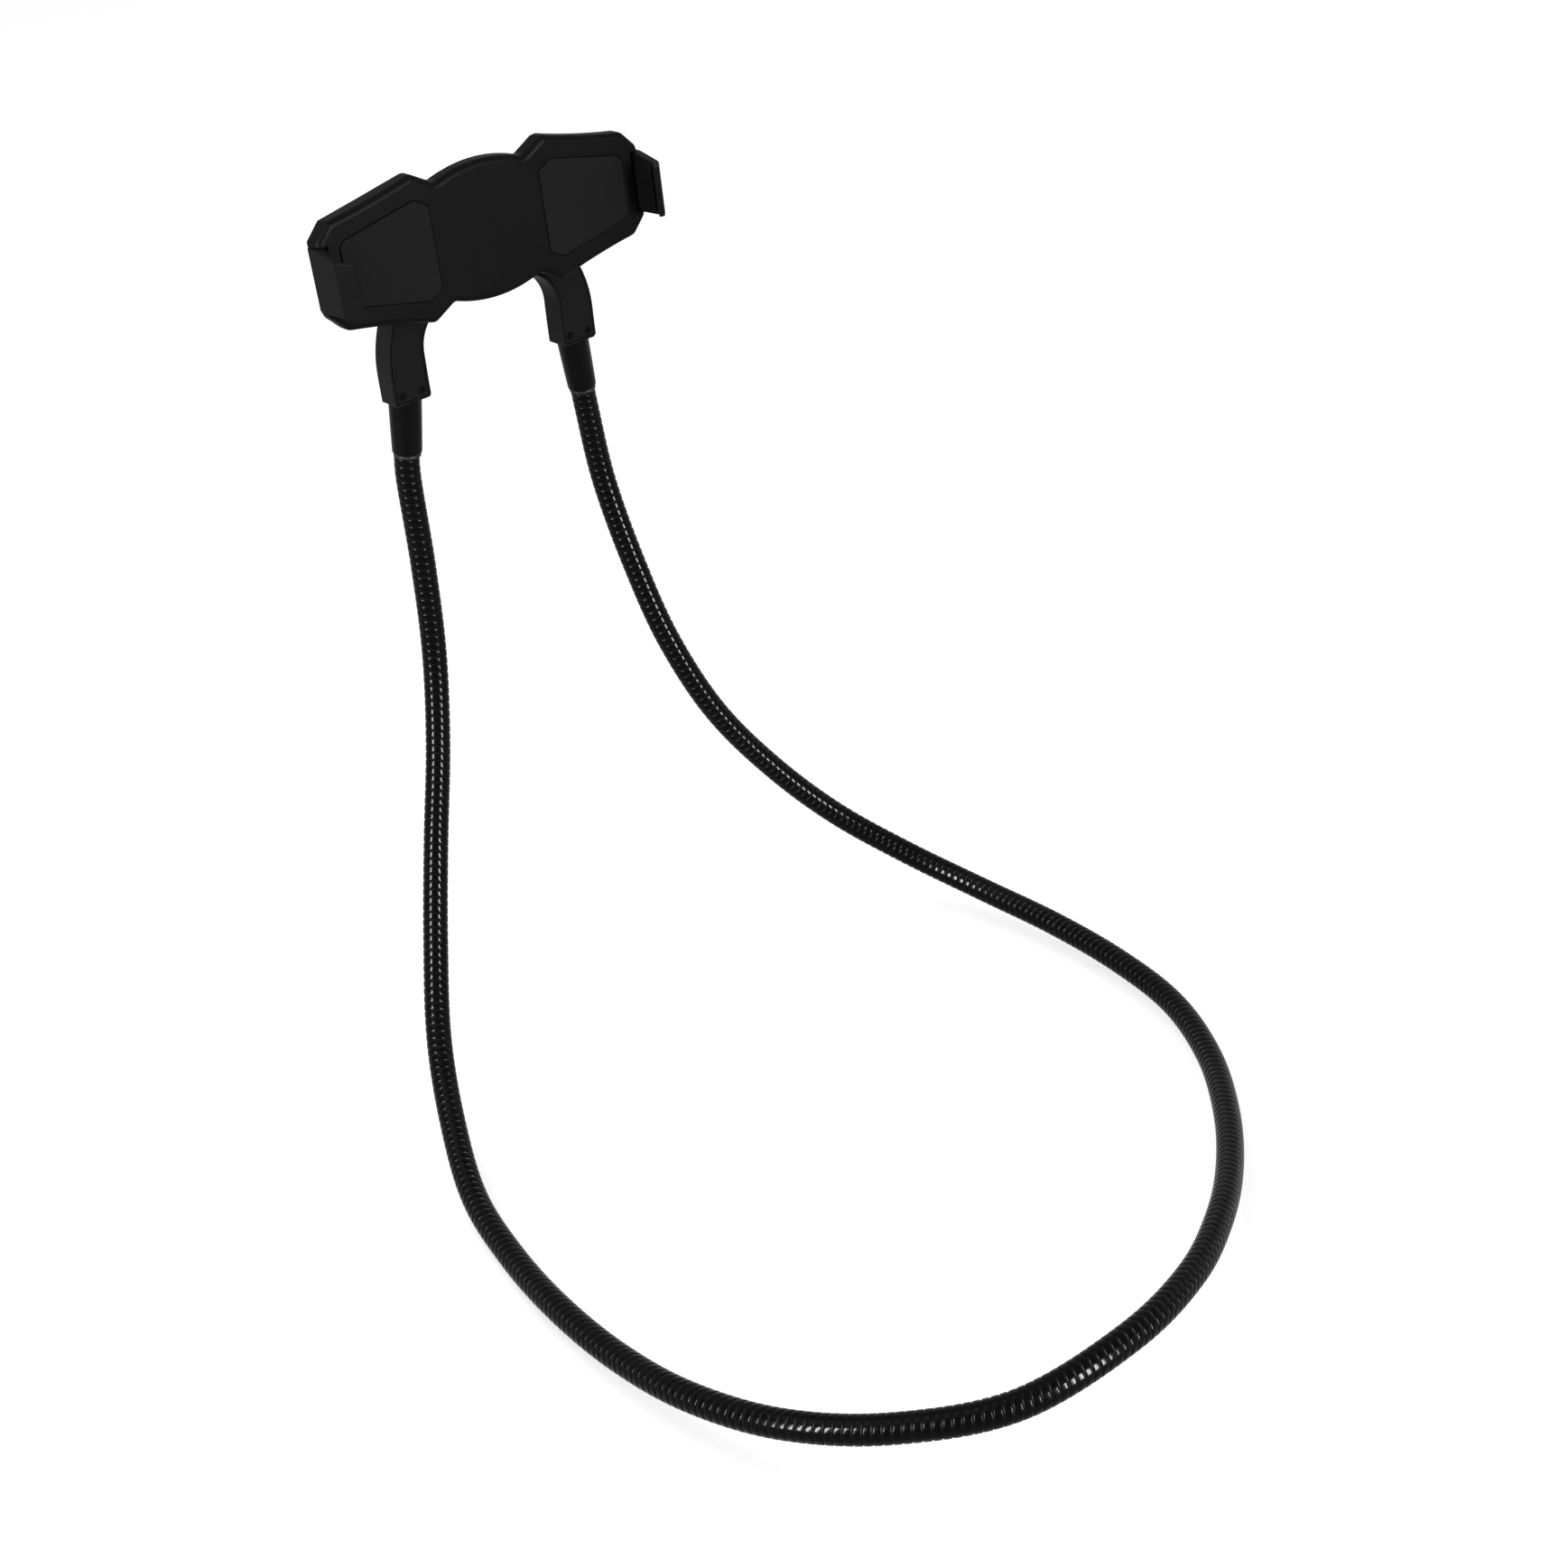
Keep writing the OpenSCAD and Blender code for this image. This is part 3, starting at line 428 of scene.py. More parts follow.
def merge(bm, distance):
    """Joins up points that lie closer than that, and turns all faces outwards."""
    bmesh.ops.remove_doubles(bm, verts=bm.verts, dist=distance)
    bmesh.ops.recalc_face_normals(bm, faces=bm.faces)


def cut_level(bm, height, up=1, clear=True):
    """Cuts a mesh at a height, and clears what lies above, or below for -1. Returns what lies on the cut."""
    return bmesh.ops.bisect_plane(bm, geom=whole(bm), plane_co=(0, 0, height), plane_no=(0, 0, up),
                                  clear_outer=clear)["geom_cut"]


def join(bm, other):
    """Adds a second mesh to the first."""
    mesh = bpy.data.meshes.new("joined")
    other.to_mesh(mesh)
    other.free()
    bm.from_mesh(mesh)
    bpy.data.meshes.remove(mesh)


def loose_object(name, bm):
    """An object in the scene with that mesh."""
    mesh = bpy.data.meshes.new(name)
    bm.to_mesh(mesh)
    bm.free()
    obj = bpy.data.objects.new(name, mesh)
    bpy.context.scene.collection.objects.link(obj)
    return obj


def cut_with(bm, tool, operation="INTERSECT"):
    """The first mesh cut by the second one."""
    body, cutter = loose_object("body", bm), loose_object("cutter", tool)
    cut = body.modifiers.new("Cut", "BOOLEAN")
    cut.object, cut.operation, cut.solver, cut.use_self = cutter, operation, "EXACT", True
    bpy.context.view_layer.update()
    result = bpy.data.meshes.new_from_object(body.evaluated_get(bpy.context.evaluated_depsgraph_get()))
    done = bmesh.new()
    done.from_mesh(result)
    # A mesh that is removed takes its object with it
    for mesh in (body.data, cutter.data, result):
        bpy.data.meshes.remove(mesh)
    bmesh.ops.remove_doubles(done, verts=done.verts, dist=MERGE)
    if not done.faces:
        raise RuntimeError("the cut left nothing")
    return done


def finish_piece(name, bm, look, body, node, crease=32, weighted=True):
    """Makes the piece that stands for a node, smooths it up to its creases, hangs it on its body's empty and
    hides the node.
    """
    obj = loose_object(name, bm)
    obj.data.shade_smooth()
    obj.data.set_sharp_from_angle(angle=math.radians(crease))
    if weighted:
        normals = obj.modifiers.new("Flat faces stay flat", "WEIGHTED_NORMAL")
        normals.keep_sharp = True
        normals.weight = 80
    obj.data.materials.append(material(look))
    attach(obj, body)
    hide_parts(node)
    return obj


def dress_node(node, look):
    """A CAD node that keeps its own mesh gets a finished material."""
    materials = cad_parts[node].data.materials
    materials.clear()
    materials.append(material(look))


# Materials


def feed(tree, socket, value):
    """Wires another node's output to a socket, or sets the socket to a value."""
    if isinstance(value, bpy.types.NodeSocket):
        tree.links.new(value, socket)
    else:
        socket.default_value = value


def give(tree, node, **values):
    """Feeds a node's sockets, and sets what is a setting of its own instead."""
    for name, value in values.items():
        socket = node.inputs.get(name.replace("_", " "))
        if socket is None:
            setattr(node, name, value)
        else:
            feed(tree, socket, value)
    return node


def add(tree, kind, **values):
    """A new node of that kind."""
    return give(tree, tree.nodes.new(kind), **values)


def calc(tree, operation, *values, kind="ShaderNodeMath"):
    """The result of a sum."""
    made = add(tree, kind, operation=operation)
    for socket, value in zip(made.inputs, values):
        feed(tree, socket, value)
    return made.outputs["Value"]


def remap(tree, value, start, end, **limits):
    """A number moved from the range 0 to 1, or the one given, to the range start to end."""
    return add(tree, "ShaderNodeMapRange", clamp=True, Value=value, To_Min=start, To_Max=end,
               **limits).outputs["Result"]


def new_group(name, inputs, outputs):
    """A node group with those inputs, and those outputs, all of them numbers."""
    group = bpy.data.node_groups.new(name, "ShaderNodeTree")
    for socket, default in inputs.items():
        made = group.interface.new_socket(name=socket, in_out="INPUT", socket_type="NodeSocketFloat")
        made.default_value = default
    for socket in outputs:
        group.interface.new_socket(name=socket, in_out="OUTPUT", socket_type="NodeSocketFloat")
    return group, group.nodes.new("NodeGroupInput").outputs, group.nodes.new("NodeGroupOutput").inputs


def lay_out(group, kind, size, **values):
    """A texture on the piece's own coordinates, with features of a size in millimetres."""
    place = add(group, "ShaderNodeTexCoord")
    scale = calc(group, "DIVIDE", 1 / MM, size)
    return add(group, kind, **values, Vector=place.outputs["Object"], Scale=scale)


def moulded_grain():
    """Fine texture of a spark-eroded mould, with a slow cloud that varies the gloss."""
    group, given, out = new_group("Moulded grain", {"Grain Size": 0.25, "Cloud Size": 9.0},
                                  ("Height", "Cloud"))
    for output, size, detail in (("Height", "Grain Size", 3.0), ("Cloud", "Cloud Size", 2.0)):
        noise = lay_out(group, "ShaderNodeTexNoise", given[size], Detail=detail, Roughness=0.55)
        feed(group, out[output], noise.outputs["Fac"])
    return group


def rubbed_edges():
    """A mask that is white on outer edges, broken up as handling wears them."""
    group, given, out = new_group("Rubbed edges", {"Radius": 0.35, "Breakup Size": 2.0}, ("Mask",))
    soft = add(group, "ShaderNodeBevel", samples=4, Radius=calc(group, "MULTIPLY", given["Radius"], MM))
    flat = add(group, "ShaderNodeNewGeometry")
    facing = calc(group, "DOT_PRODUCT", soft.outputs["Normal"], flat.outputs["Normal"],
                  kind="ShaderNodeVectorMath")
    edge = remap(group, facing, 0.0, 1.0, From_Min=0.995, From_Max=0.80)
    breakup = lay_out(group, "ShaderNodeTexNoise", given["Breakup Size"], Detail=3.0, Roughness=0.6)
    feed(group, out["Mask"], calc(group, "MULTIPLY", edge, breakup.outputs["Fac"]))
    return group


def settled_specks():
    """A mask of the few pale specks that dust and lint leave on a dark surface."""
    group, given, out = new_group("Settled specks", {"Spacing": 1.2, "Share": 0.06}, ("Mask",))
    cells = lay_out(group, "ShaderNodeTexVoronoi", given["Spacing"], feature="F1", distance="EUCLIDEAN")
    feed(group, out["Mask"], calc(group, "LESS_THAN", cells.outputs["Distance"], given["Share"]))
    return group


EFFECTS = {"Moulded grain": moulded_grain, "Rubbed edges": rubbed_edges, "Settled specks": settled_specks}

# The Mix node's colour sockets, whose names its number sockets share
MIX_FIRST, MIX_SECOND, MIX_RESULT = 6, 7, 2


def effect(tree, name, **values):
    """The outputs of a shared effect, built when it is first asked for, with this material's own values."""
    made = tree.nodes.new("ShaderNodeGroup")
    made.node_tree = bpy.data.node_groups.get(name) or EFFECTS[name]()
    return give(tree, made, **values).outputs


def blend_colours(tree, mask, first, second):
    """Goes by a mask from the first colour to the second."""
    mix = add(tree, "ShaderNodeMix", data_type="RGBA", Factor=mask)
    feed(tree, mix.inputs[MIX_FIRST], first)
    feed(tree, mix.inputs[MIX_SECOND], second)
    return mix.outputs[MIX_RESULT]


def spread(tree, noise, low, high):
    """Noise, which keeps mostly to the middle of its range, stretched to the range low to high."""
    return remap(tree, noise, low, high, From_Min=0.25, From_Max=0.75)


def emboss(tree, height, strength, depth):
    """The normal of a surface that a height texture raises by a depth in millimetres."""
    made = add(tree, "ShaderNodeBump", Strength=strength, Distance=depth * MM, Height=height)
    return made.outputs["Normal"]


def lighter(shade, factor):
    return (*(min(1, c * factor) for c in shade), 1)


def new_material(name):
    """A material, its tree and its shader."""
    made = bpy.data.materials.new(name)
    made.use_nodes = True
    return made, made.node_tree, made.node_tree.nodes["Principled BSDF"]


def moulded_plastic(name, shade, gloss, grain, bump, wear=1.6, specks=0.0, specular=0.02):
    """Moulded or soft plastic: mottled colour, rubbed edges, specks, grain, and a gloss that varies."""
    made, tree, shader = new_material(name)
    texture = effect(tree, "Moulded grain", Grain_Size=grain, Cloud_Size=grain * 40)
    edges = effect(tree, "Rubbed edges", Radius=0.3, Breakup_Size=1.6)
    base = blend_colours(tree, texture["Cloud"], lighter(shade, 0.88), lighter(shade, 1.12))
    base = blend_colours(tree, edges["Mask"], base, lighter(shade, wear))
    if specks:
        dust = effect(tree, "Settled specks", Spacing=1.1, Share=specks)
        base = blend_colours(tree, dust["Mask"], base, lighter(shade, 2.0))
    give(tree, shader, Specular_IOR_Level=specular, Base_Color=base,
         Roughness=spread(tree, texture["Cloud"], gloss - 0.05, gloss + 0.05),
         Normal=emboss(tree, texture["Height"], bump, 0.03))
    return made


def plain_metal(name, shade, gloss, marks, stretch):
    """Bare or blackened metal with fine tool marks, stretched along an axis."""
    made, tree, shader = new_material(name)
    place = add(tree, "ShaderNodeTexCoord")
    drawn = add(tree, "ShaderNodeMapping", Vector=place.outputs["Object"], Scale=stretch)
    noise = add(tree, "ShaderNodeTexNoise", Vector=drawn.outputs["Vector"], Scale=1 / (marks * MM),
                Detail=4.0, Roughness=0.65).outputs["Fac"]
    edges = effect(tree, "Rubbed edges", Radius=0.15, Breakup_Size=0.8)
    base = blend_colours(tree, noise, lighter(shade, 0.8), lighter(shade, 1.15))
    base = blend_colours(tree, edges["Mask"], base, lighter(shade, 1.5))
    give(tree, shader, Metallic=1.0, Base_Color=base, Normal=emboss(tree, noise, 0.25, 0.02),
         Roughness=spread(tree, noise, gloss - 0.08, gloss + 0.1))
    return made


def gooseneck_coat(name, shade):
    """Gloss black coat over the wound wires: duller in the grooves and darker there as painted shade, with a
    faint ripple on the ribs.
    """
    made, tree, shader = new_material(name)
    baked = add(tree, "ShaderNodeAttribute", attribute_name="rib_height", attribute_type="GEOMETRY")
    rib = baked.outputs["Fac"]
    texture = effect(tree, "Moulded grain", Grain_Size=0.5, Cloud_Size=6.0)
    specks = effect(tree, "Settled specks", Spacing=2.3, Share=0.05)
    # Painted shade: the colour goes from half its shade at the bottom of a groove to a little lighter on the
    # crowns
    base = blend_colours(tree, rib, lighter(shade, 0.5), lighter(shade, 1.15))
    base = blend_colours(tree, specks["Mask"], base, lighter(shade, 3))
    give(tree, shader, Specular_IOR_Level=0.05, Base_Color=base,
         Roughness=calc(tree, "MULTIPLY_ADD", texture["Cloud"], 0.10, remap(tree, rib, 0.6, 0.10)),
         Normal=emboss(tree, texture["Height"], 0.15, 0.03))
    return made


# Each material's builder, name and colour, its gloss, the size of its grain or tool marks in millimetres, and
# what else the builder takes
FINISHES = {
    "clamp_plastic": (moulded_plastic, "Clamp plastic", "plate", 0.47, 0.22, 0.35),
    # The same plastic as the clamp's, with a lighter colour that is painted light
    "hook_plastic": (moulded_plastic, "Hook plastic", "hook", 0.47, 0.22, 0.35),
    "hook_pad": (moulded_plastic, "Hook pad", "hook_pad", 0.6, 0.3, 0.6, 1.6, 0.05),
    "soft_pad": (moulded_plastic, "Soft pad", "pad", 0.72, 0.3, 0.6, 1.6, 0.09),
    # Lighter than the clamp's plastic, which is painted light
    "yoke_plastic": (moulded_plastic, "Yoke plastic", "yoke", 0.5, 0.22, 0.35),
    "yoke_cover_plastic": (moulded_plastic, "Yoke cover plastic", "yoke_cover", 0.55, 0.2, 0.5),
    "sleeve_gloss": (moulded_plastic, "Sleeve gloss", "sleeve", 0.28, 0.6, 0.12, 1.6, 0.0, 0.04),
    "nylon": (moulded_plastic, "Natural nylon", "nylon", 0.5, 0.3, 0.3, 1.1, 0.0, 0.4),
    # Darker than black plastic alone, as painted shade of the recesses
    "black_screw": (moulded_plastic, "Black screw", "screw", 0.4, 0.15, 0.3, 1.5),
    "bright_steel": (plain_metal, "Bright steel", "steel", 0.28, 0.1, (1, 4, 1)),
    "plug_alloy": (plain_metal, "Turned alloy", "alloy", 0.32, 0.15, (1, 1, 5)),
    "plated_ring": (plain_metal, "Plated ring", "ring", 0.5, 0.2, (1, 1, 6)),
    "gooseneck_coat": (gooseneck_coat, "Gooseneck coat", "coat"),
}
MATERIALS = {}


def material(key):
    """A finished material, built when it is first asked for."""
    if key not in MATERIALS:
        build, name, shade, *rest = FINISHES[key]
        MATERIALS[key] = build(name, getattr(bpy.context.scene.holder_finish, shade), *rest)
    return MATERIALS[key]


# Clamp


def plate_outline():
    """The plate's outline, as X and Z from the clamp's centre."""
    half_x, half_z = WAIST_HALF
    end, (outer_x, outer_z), (inner_x, inner_z) = PLATE_CORNERS
    run, rise = inner_x - outer_x, inner_z - outer_z
    wing = [(outer_x + run * t, outer_z + rise * t - 4 * WING_DIP * t * (1 - t))
            for t in (i / WING_STEPS for i in range(WING_STEPS + 1))]
    radius = (half_x ** 2 + WAIST_RISE ** 2) / (2 * WAIST_RISE)
    reach = math.asin(half_x / radius)
    waist = [(radius * math.sin(a), half_z + WAIST_RISE - radius + radius * math.cos(a))
             for a in (reach * (1 - 2 * i / WAIST_STEPS) for i in range(WAIST_STEPS + 1))]
    upper = [end] + wing + waist + [(-x, z) for x, z in reversed([end] + wing)]
    return [(x * MM, z * MM) for x, z in upper + [(-x, -z) for x, z in upper]]


def waist_corners(bm):
    """The four edges where the waist meets the wings."""
    return [e for e in corners(bm) if not e.is_convex
            and abs(abs(middle(e).x - CENTRE.x) - WAIST_HALF[0] * MM) < WAIST_SLACK[0] * MM
            and abs(abs(middle(e).z - CENTRE.z) - WAIST_HALF[1] * MM) < WAIST_SLACK[1] * MM]


def plate_envelope(look, front, back, skin=SKIN):
    """The plate's outline as a solid between two depths, with its corners rounded."""
    envelope = prism(plate_outline(), front, back, skin)
    round_off(envelope, corners(envelope), look.corner, 5)
    return envelope


class HOLDER_OT_plate(bpy.types.Operator):
    """Front and rear cover of the clamp's plate, with rounded edges"""
    bl_idname = "holder.plate"
    bl_label = "Plate covers"

    def execute(self, context):
        look = context.scene.holder_clamp
        bm = merged_copy("front_cover")
        pocket_walls = [e for e in corners(bm, 12) if not e.is_convex
                        and e.calc_length() < POCKET_DEEPEST and abs(middle(e).x - CENTRE.x) < POCKET_REACH]
        round_off(bm, pocket_walls, look.pad_corner, 4)
        round_off(bm, waist_corners(bm), look.corner, 5)
        front = CENTRE.y + SKIN
        envelope = plate_envelope(look, front, CENTRE.y + PLATE_BACK)
        round_off(envelope, edges_at(envelope, front), look.front_edge, 5)
        bm = cut_with(bm, envelope)
        round_off(bm, edges_at(bm, front, least=60), look.pocket_edge, 2)
        finish_piece("front_cover_skin", bm, "clamp_plastic", "clamp", "front_cover")

        bm = merged_copy("rear_cover")
        round_off(bm, waist_corners(bm), look.corner, 5)
        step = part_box("front_cover")[1].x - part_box("rear_cover")[1].x
        back = CENTRE.y + PLATE_BACK - SKIN
        envelope = plate_envelope(look, CENTRE.y + REAR_FRONT, back, step + SKIN)
        round_off(envelope, edges_at(envelope, back), look.back_edge, 4)
        bm = cut_with(bm, cut_with(envelope, hub_disc(context.scene.holder_yoke), "UNION"))
        finish_piece("rear_cover_skin", bm, "clamp_plastic", "clamp", "rear_cover")
        return {"FINISHED"}


class HOLDER_OT_face_pads(bpy.types.Operator):
    """The two soft pads let into the plate's wings"""
    bl_idname = "holder.face_pads"
    bl_label = "Face pads"

    def execute(self, context):
        look = context.scene.holder_clamp
        for side in SIDES:
            node = f"{side}_face_pad"
            bm = merged_copy(node)
            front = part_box(node)[0].y
            round_off(bm, corners(bm, 12), look.pad_corner, 5)
            round_off(bm, edges_at(bm, front), look.pad_edge, 3)
            finish_piece(f"{node}_soft", bm, "soft_pad", "clamp", node)
        return {"FINISHED"}


class HOLDER_OT_hooks(bpy.types.Operator):
    """The two sliding hooks, with rounded bends, and the soft pads on their walls"""
    bl_idname = "holder.hooks"
    bl_label = "Hooks"

    def execute(self, context):
        look = context.scene.holder_clamp
        for side, sign in SIDES.items():
            node = f"{side}_hook"
            low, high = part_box(node)
            outer = high.x if sign > 0 else low.x
            bm = merged_copy(node)
            bend = [e for e in sharp_edges(bm, 20) if upright(e, 2) and abs(middle(e).x - outer) < NEAR
                    and middle(e).y < CENTRE.y + BEND_DEPTH]
            round_off(bm, bend, look.hook_bend, 4)
            inner = outer - sign * HOOK_WALL
            edges = [e for e in sharp_edges(bm) if middle(e).y < CENTRE.y + RAIL_DEPTH
                     and (middle(e).y < CENTRE.y - CLEAR or (middle(e).x - inner) * sign > CLEAR)]
            round_off(bm, edges, look.hook_edge, 3)
            finish_piece(f"{node}_arm", bm, "hook_plastic", node, node)

            pad = f"{side}_hook_pad"
            low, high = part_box(pad)
            bm = bmesh.new()
            bmesh.ops.create_cube(bm, size=1)
            bmesh.ops.scale(bm, verts=bm.verts, vec=high - low)
            shift(bm, (low + high) / 2)
            round_off(bm, [e for e in bm.edges if upright(e, 0)], look.hook_pad_corner, 5)
            free = low.x if sign > 0 else high.x
            round_off(bm, edges_at(bm, free, 0), look.pad_edge, 3)
            finish_piece(f"{pad}_soft", bm, "hook_pad", node, pad)
        return {"FINISHED"}


class HOLDER_OT_springs(bpy.types.Operator):
    """The two tension springs inside the plate, wound from round wire"""
    bl_idname = "holder.springs"
    bl_label = "Springs"

    def execute(self, context):
        look = context.scene.holder_clamp
        wire_radius = look.spring_wire / 2
        loop = look.spring_body / 2 - wire_radius
        wire_section = arc((loop, 0), wire_radius, 0, 360 - 360 / WIRE_SIDES, WIRE_SIDES - 1)
        for side, sign in SIDES.items():
            node = f"{side}_spring"
            low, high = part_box(node)
            centre = (low + high) / 2
            half = (high.x - low.x) / 2
            body_half = half - look.spring_body / 2 - EYE_GAP
            pitch = 2 * body_half / 2 ** SPRING_DOUBLINGS
            bm = bmesh.new()
            bmesh.ops.create_circle(bm, cap_ends=False, segments=WIRE_SIDES, radius=wire_radius)
            quarter_turn(bm, "X")
            shift(bm, (loop, 0, -body_half))
            wind_turn(bm, pitch, COIL_STEPS, 1)
            repeat_turn(bm, pitch, SPRING_DOUBLINGS)
            bmesh.ops.holes_fill(bm, edges=[e for e in bm.edges if e.is_boundary], sides=0)
            quarter_turn(bm, "Y")
            for end in (-1, 1):
                eye = turned(wire_section, EYE_STEPS)
                quarter_turn(eye, "X")
                shift(eye, (end * (half - look.spring_body / 2), 0, 0))
                join(bm, eye)
            bmesh.ops.recalc_face_normals(bm, faces=bm.faces)
            shift(bm, centre)
            spring = loose_object(f"{node}_coil", bm)
            spring.data.shade_smooth()
            spring.data.materials.append(material("bright_steel"))
            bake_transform(spring)
            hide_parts(node)
        return {"FINISHED"}


# Yoke


def leg_lean(z):
    """How far the yoke has swung back at a height below the clamp's centre."""
    t = max(0.0, min(1.0, (ARCH_UNDER_Z - z) / (ARCH_UNDER_Z - LEG_FOOT_Z)))
    return LEG_LEAN * t * t * (3 - 2 * t)


def arch_outline():
    """The yoke's outline without its hub, as X and Z from the clamp's centre."""
    fillet = (LEG_INNER_X - ARCH_FILLET, ARCH_UNDER_Z - ARCH_FILLET)
    outer = arc((0, ARCH_CENTRE_Z), ARCH_RADIUS, 0, 180, 72)
    left = arc((-fillet[0], fillet[1]), ARCH_FILLET, 180, 90, 16)
    right = arc(fillet, ARCH_FILLET, 90, 0, 16)
    return (outer + [(-ARCH_RADIUS, LEG_FOOT_Z), (-LEG_INNER_X, LEG_FOOT_Z)] + left + right
            + [(LEG_INNER_X, LEG_FOOT_Z), (ARCH_RADIUS, LEG_FOOT_Z)])


def hub_disc(look):
    """The hub's round body with a softened back edge."""
    front, back = CENTRE.y + YOKE_FRONT - HUB_OVERLAP, CENTRE.y + HUB_BACK - SKIN
    bm = bmesh.new()
    bmesh.ops.create_cone(bm, cap_ends=True, segments=96, radius1=HUB_RADIUS - SKIN,
                          radius2=HUB_RADIUS - SKIN, depth=back - front)
    quarter_turn(bm, "X", -1)
    shift(bm, (CENTRE.x, (front + back) / 2, CENTRE.z))
    round_off(bm, edges_at(bm, back), look.hub_edge, 3)
    return bm


def near_leg_screw(point):
    """True within a leg screw's countersink."""
    x, _, z = point - CENTRE
    return any(math.hypot(x - leg * LEG_X - s * LEG_SCREW_X, z - LEG_SCREW_Z) < LEG_SCREW_REACH
               for leg in (-1, 1) for s in (-1, 1))


def front_rim(bm, wanted):
    """The outer edges of the faces that look forwards, where the test passes for their middle."""
    return [e for e in sharp_edges(bm, 50) if e.is_convex and any(f.normal.y < -0.85 for f in e.link_faces)
            and any(abs(f.normal.y) < 0.3 for f in e.link_faces) and wanted(middle(e))]


class HOLDER_OT_yoke(bpy.types.Operator):
    """The arched yoke: its shell with a rounded back, and the cover let into its front"""
    bl_idname = "holder.yoke"
    bl_label = "Yoke"

    def execute(self, context):
        look = context.scene.holder_yoke
        back = CENTRE.y + YOKE_FRONT + LEG_DEPTH - SKIN
        envelope = prism(arch_outline(), CENTRE.y + YOKE_FRONT - OVERRUN, back)
        round_off(envelope, edges_at(envelope, back), look.back_edge, 5)
        for i in range(1, LEAN_STEPS):
            z = ARCH_UNDER_Z + (LEG_FOOT_Z - ARCH_UNDER_Z) * i / LEAN_STEPS
            cut_level(envelope, CENTRE.z + z, clear=False)
        for v in envelope.verts:
            if v.co.y > CENTRE.y + YOKE_FRONT:
                v.co.y += leg_lean(v.co.z - CENTRE.z)
        envelope = cut_with(envelope, hub_disc(look), "UNION")
        bm = merged_copy("yoke_shell")
        feet = [e for e in corners(bm, 60) if e.is_convex and e.calc_length() > LEG_DEPTH / 2
                and abs(middle(e).z - CENTRE.z - LEG_FOOT_Z) < NEAR]
        round_off(bm, feet, look.foot_corner, 4)
        bm = cut_with(bm, envelope)
        front = CENTRE.y + YOKE_FRONT + RIM_DEPTH
        round_off(bm, front_rim(bm, lambda p: p.y < front + leg_lean(p.z - CENTRE.z)), look.rim_edge, 2)
        finish_piece("yoke_shell_body", bm, "yoke_plastic", "yoke", "yoke_shell")

        bm = merged_copy("yoke_cover")
        rim = front_rim(bm, lambda p: (p - CENTRE).xz.length > HUB_HOLE and p.z > CENTRE.z + LEG_FOOT_Z
                        and not near_leg_screw(p))
        round_off(bm, rim, look.cover_edge, 2)
        finish_piece("yoke_cover_plate", bm, "yoke_cover_plastic", "yoke", "yoke_cover")
        return {"FINISHED"}


class HOLDER_OT_swivel(bpy.types.Operator):
    """The swivel's washers and screw, and the cap that closes the hub"""
    bl_idname = "holder.swivel"
    bl_label = "Swivel"

    def execute(self, context):
        dress_node("friction_washer", "nylon")
        for node in ("wave_washer", "retaining_washer", "pivot_screw"):
            dress_node(node, "bright_steel")
        low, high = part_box("hub_cap")
        radius, depth = (high.x - low.x) / 2, high.y - low.y
        rim, plug, hollow = depth / 2, radius - CAP_STEP, radius - CAP_STEP - CAP_WALL
        face, soft = depth - CAP_SINK, CAP_SOFT
        section = [(0, depth), (radius * 0.62, depth), (radius * 0.68, depth - CAP_GROOVE),
                   (radius * 0.74, face), (radius - soft, face), (radius - 0.3 * soft, depth - 0.4 * soft),
                   (radius, depth - soft), (radius, rim), (plug, rim), (plug, 0), (hollow, 0), (hollow, rim),
                   (0, rim)]
        bm = turned(section, 72, closed=False)
        quarter_turn(bm, "X", -1)
        shift(bm, ((low.x + high.x) / 2, low.y, (low.z + high.z) / 2))
        finish_piece("hub_cap_disc", bm, "yoke_plastic", "yoke", "hub_cap")
        return {"FINISHED"}


class HOLDER_OT_screws(bpy.types.Operator):
    """Black finish on the screws of the covers, darkened further as painted shade of their recesses"""
    bl_idname = "holder.screws"
    bl_label = "Screws"

    def execute(self, context):
        for node in ("cover_screws", "leg_screws", "yoke_screws"):
            dress_node(node, "black_screw")
        return {"FINISHED"}


# Sleeves and gooseneck


def sleeve_direction(sign):
    """The way that a sleeve points, out of its leg."""
    level = math.cos(TILT)
    return Vector((sign * math.sin(SPLAY) * level, math.sin(TILT), -math.cos(SPLAY) * level))


def sleeve_point(sign, distance):
    """A point on a sleeve's axis, at a distance below the foot of its leg."""
    direction = sleeve_direction(sign)
    depth, height = SLEEVE_CROSSING
    crossing = CENTRE + Vector((sign * LEG_X, depth, height))
    return crossing + direction * ((height - LEG_FOOT_Z) / -direction.z + distance)


def put_on_axis(bm, sign, distance):
    """Moves a piece drawn about Z to a place on a sleeve's axis, with its top towards the leg."""
    turn = (-sleeve_direction(sign)).to_track_quat("Z", "Y").to_matrix()
    bmesh.ops.rotate(bm, verts=bm.verts, cent=(0, 0, 0), matrix=turn)
    shift(bm, sleeve_point(sign, distance))


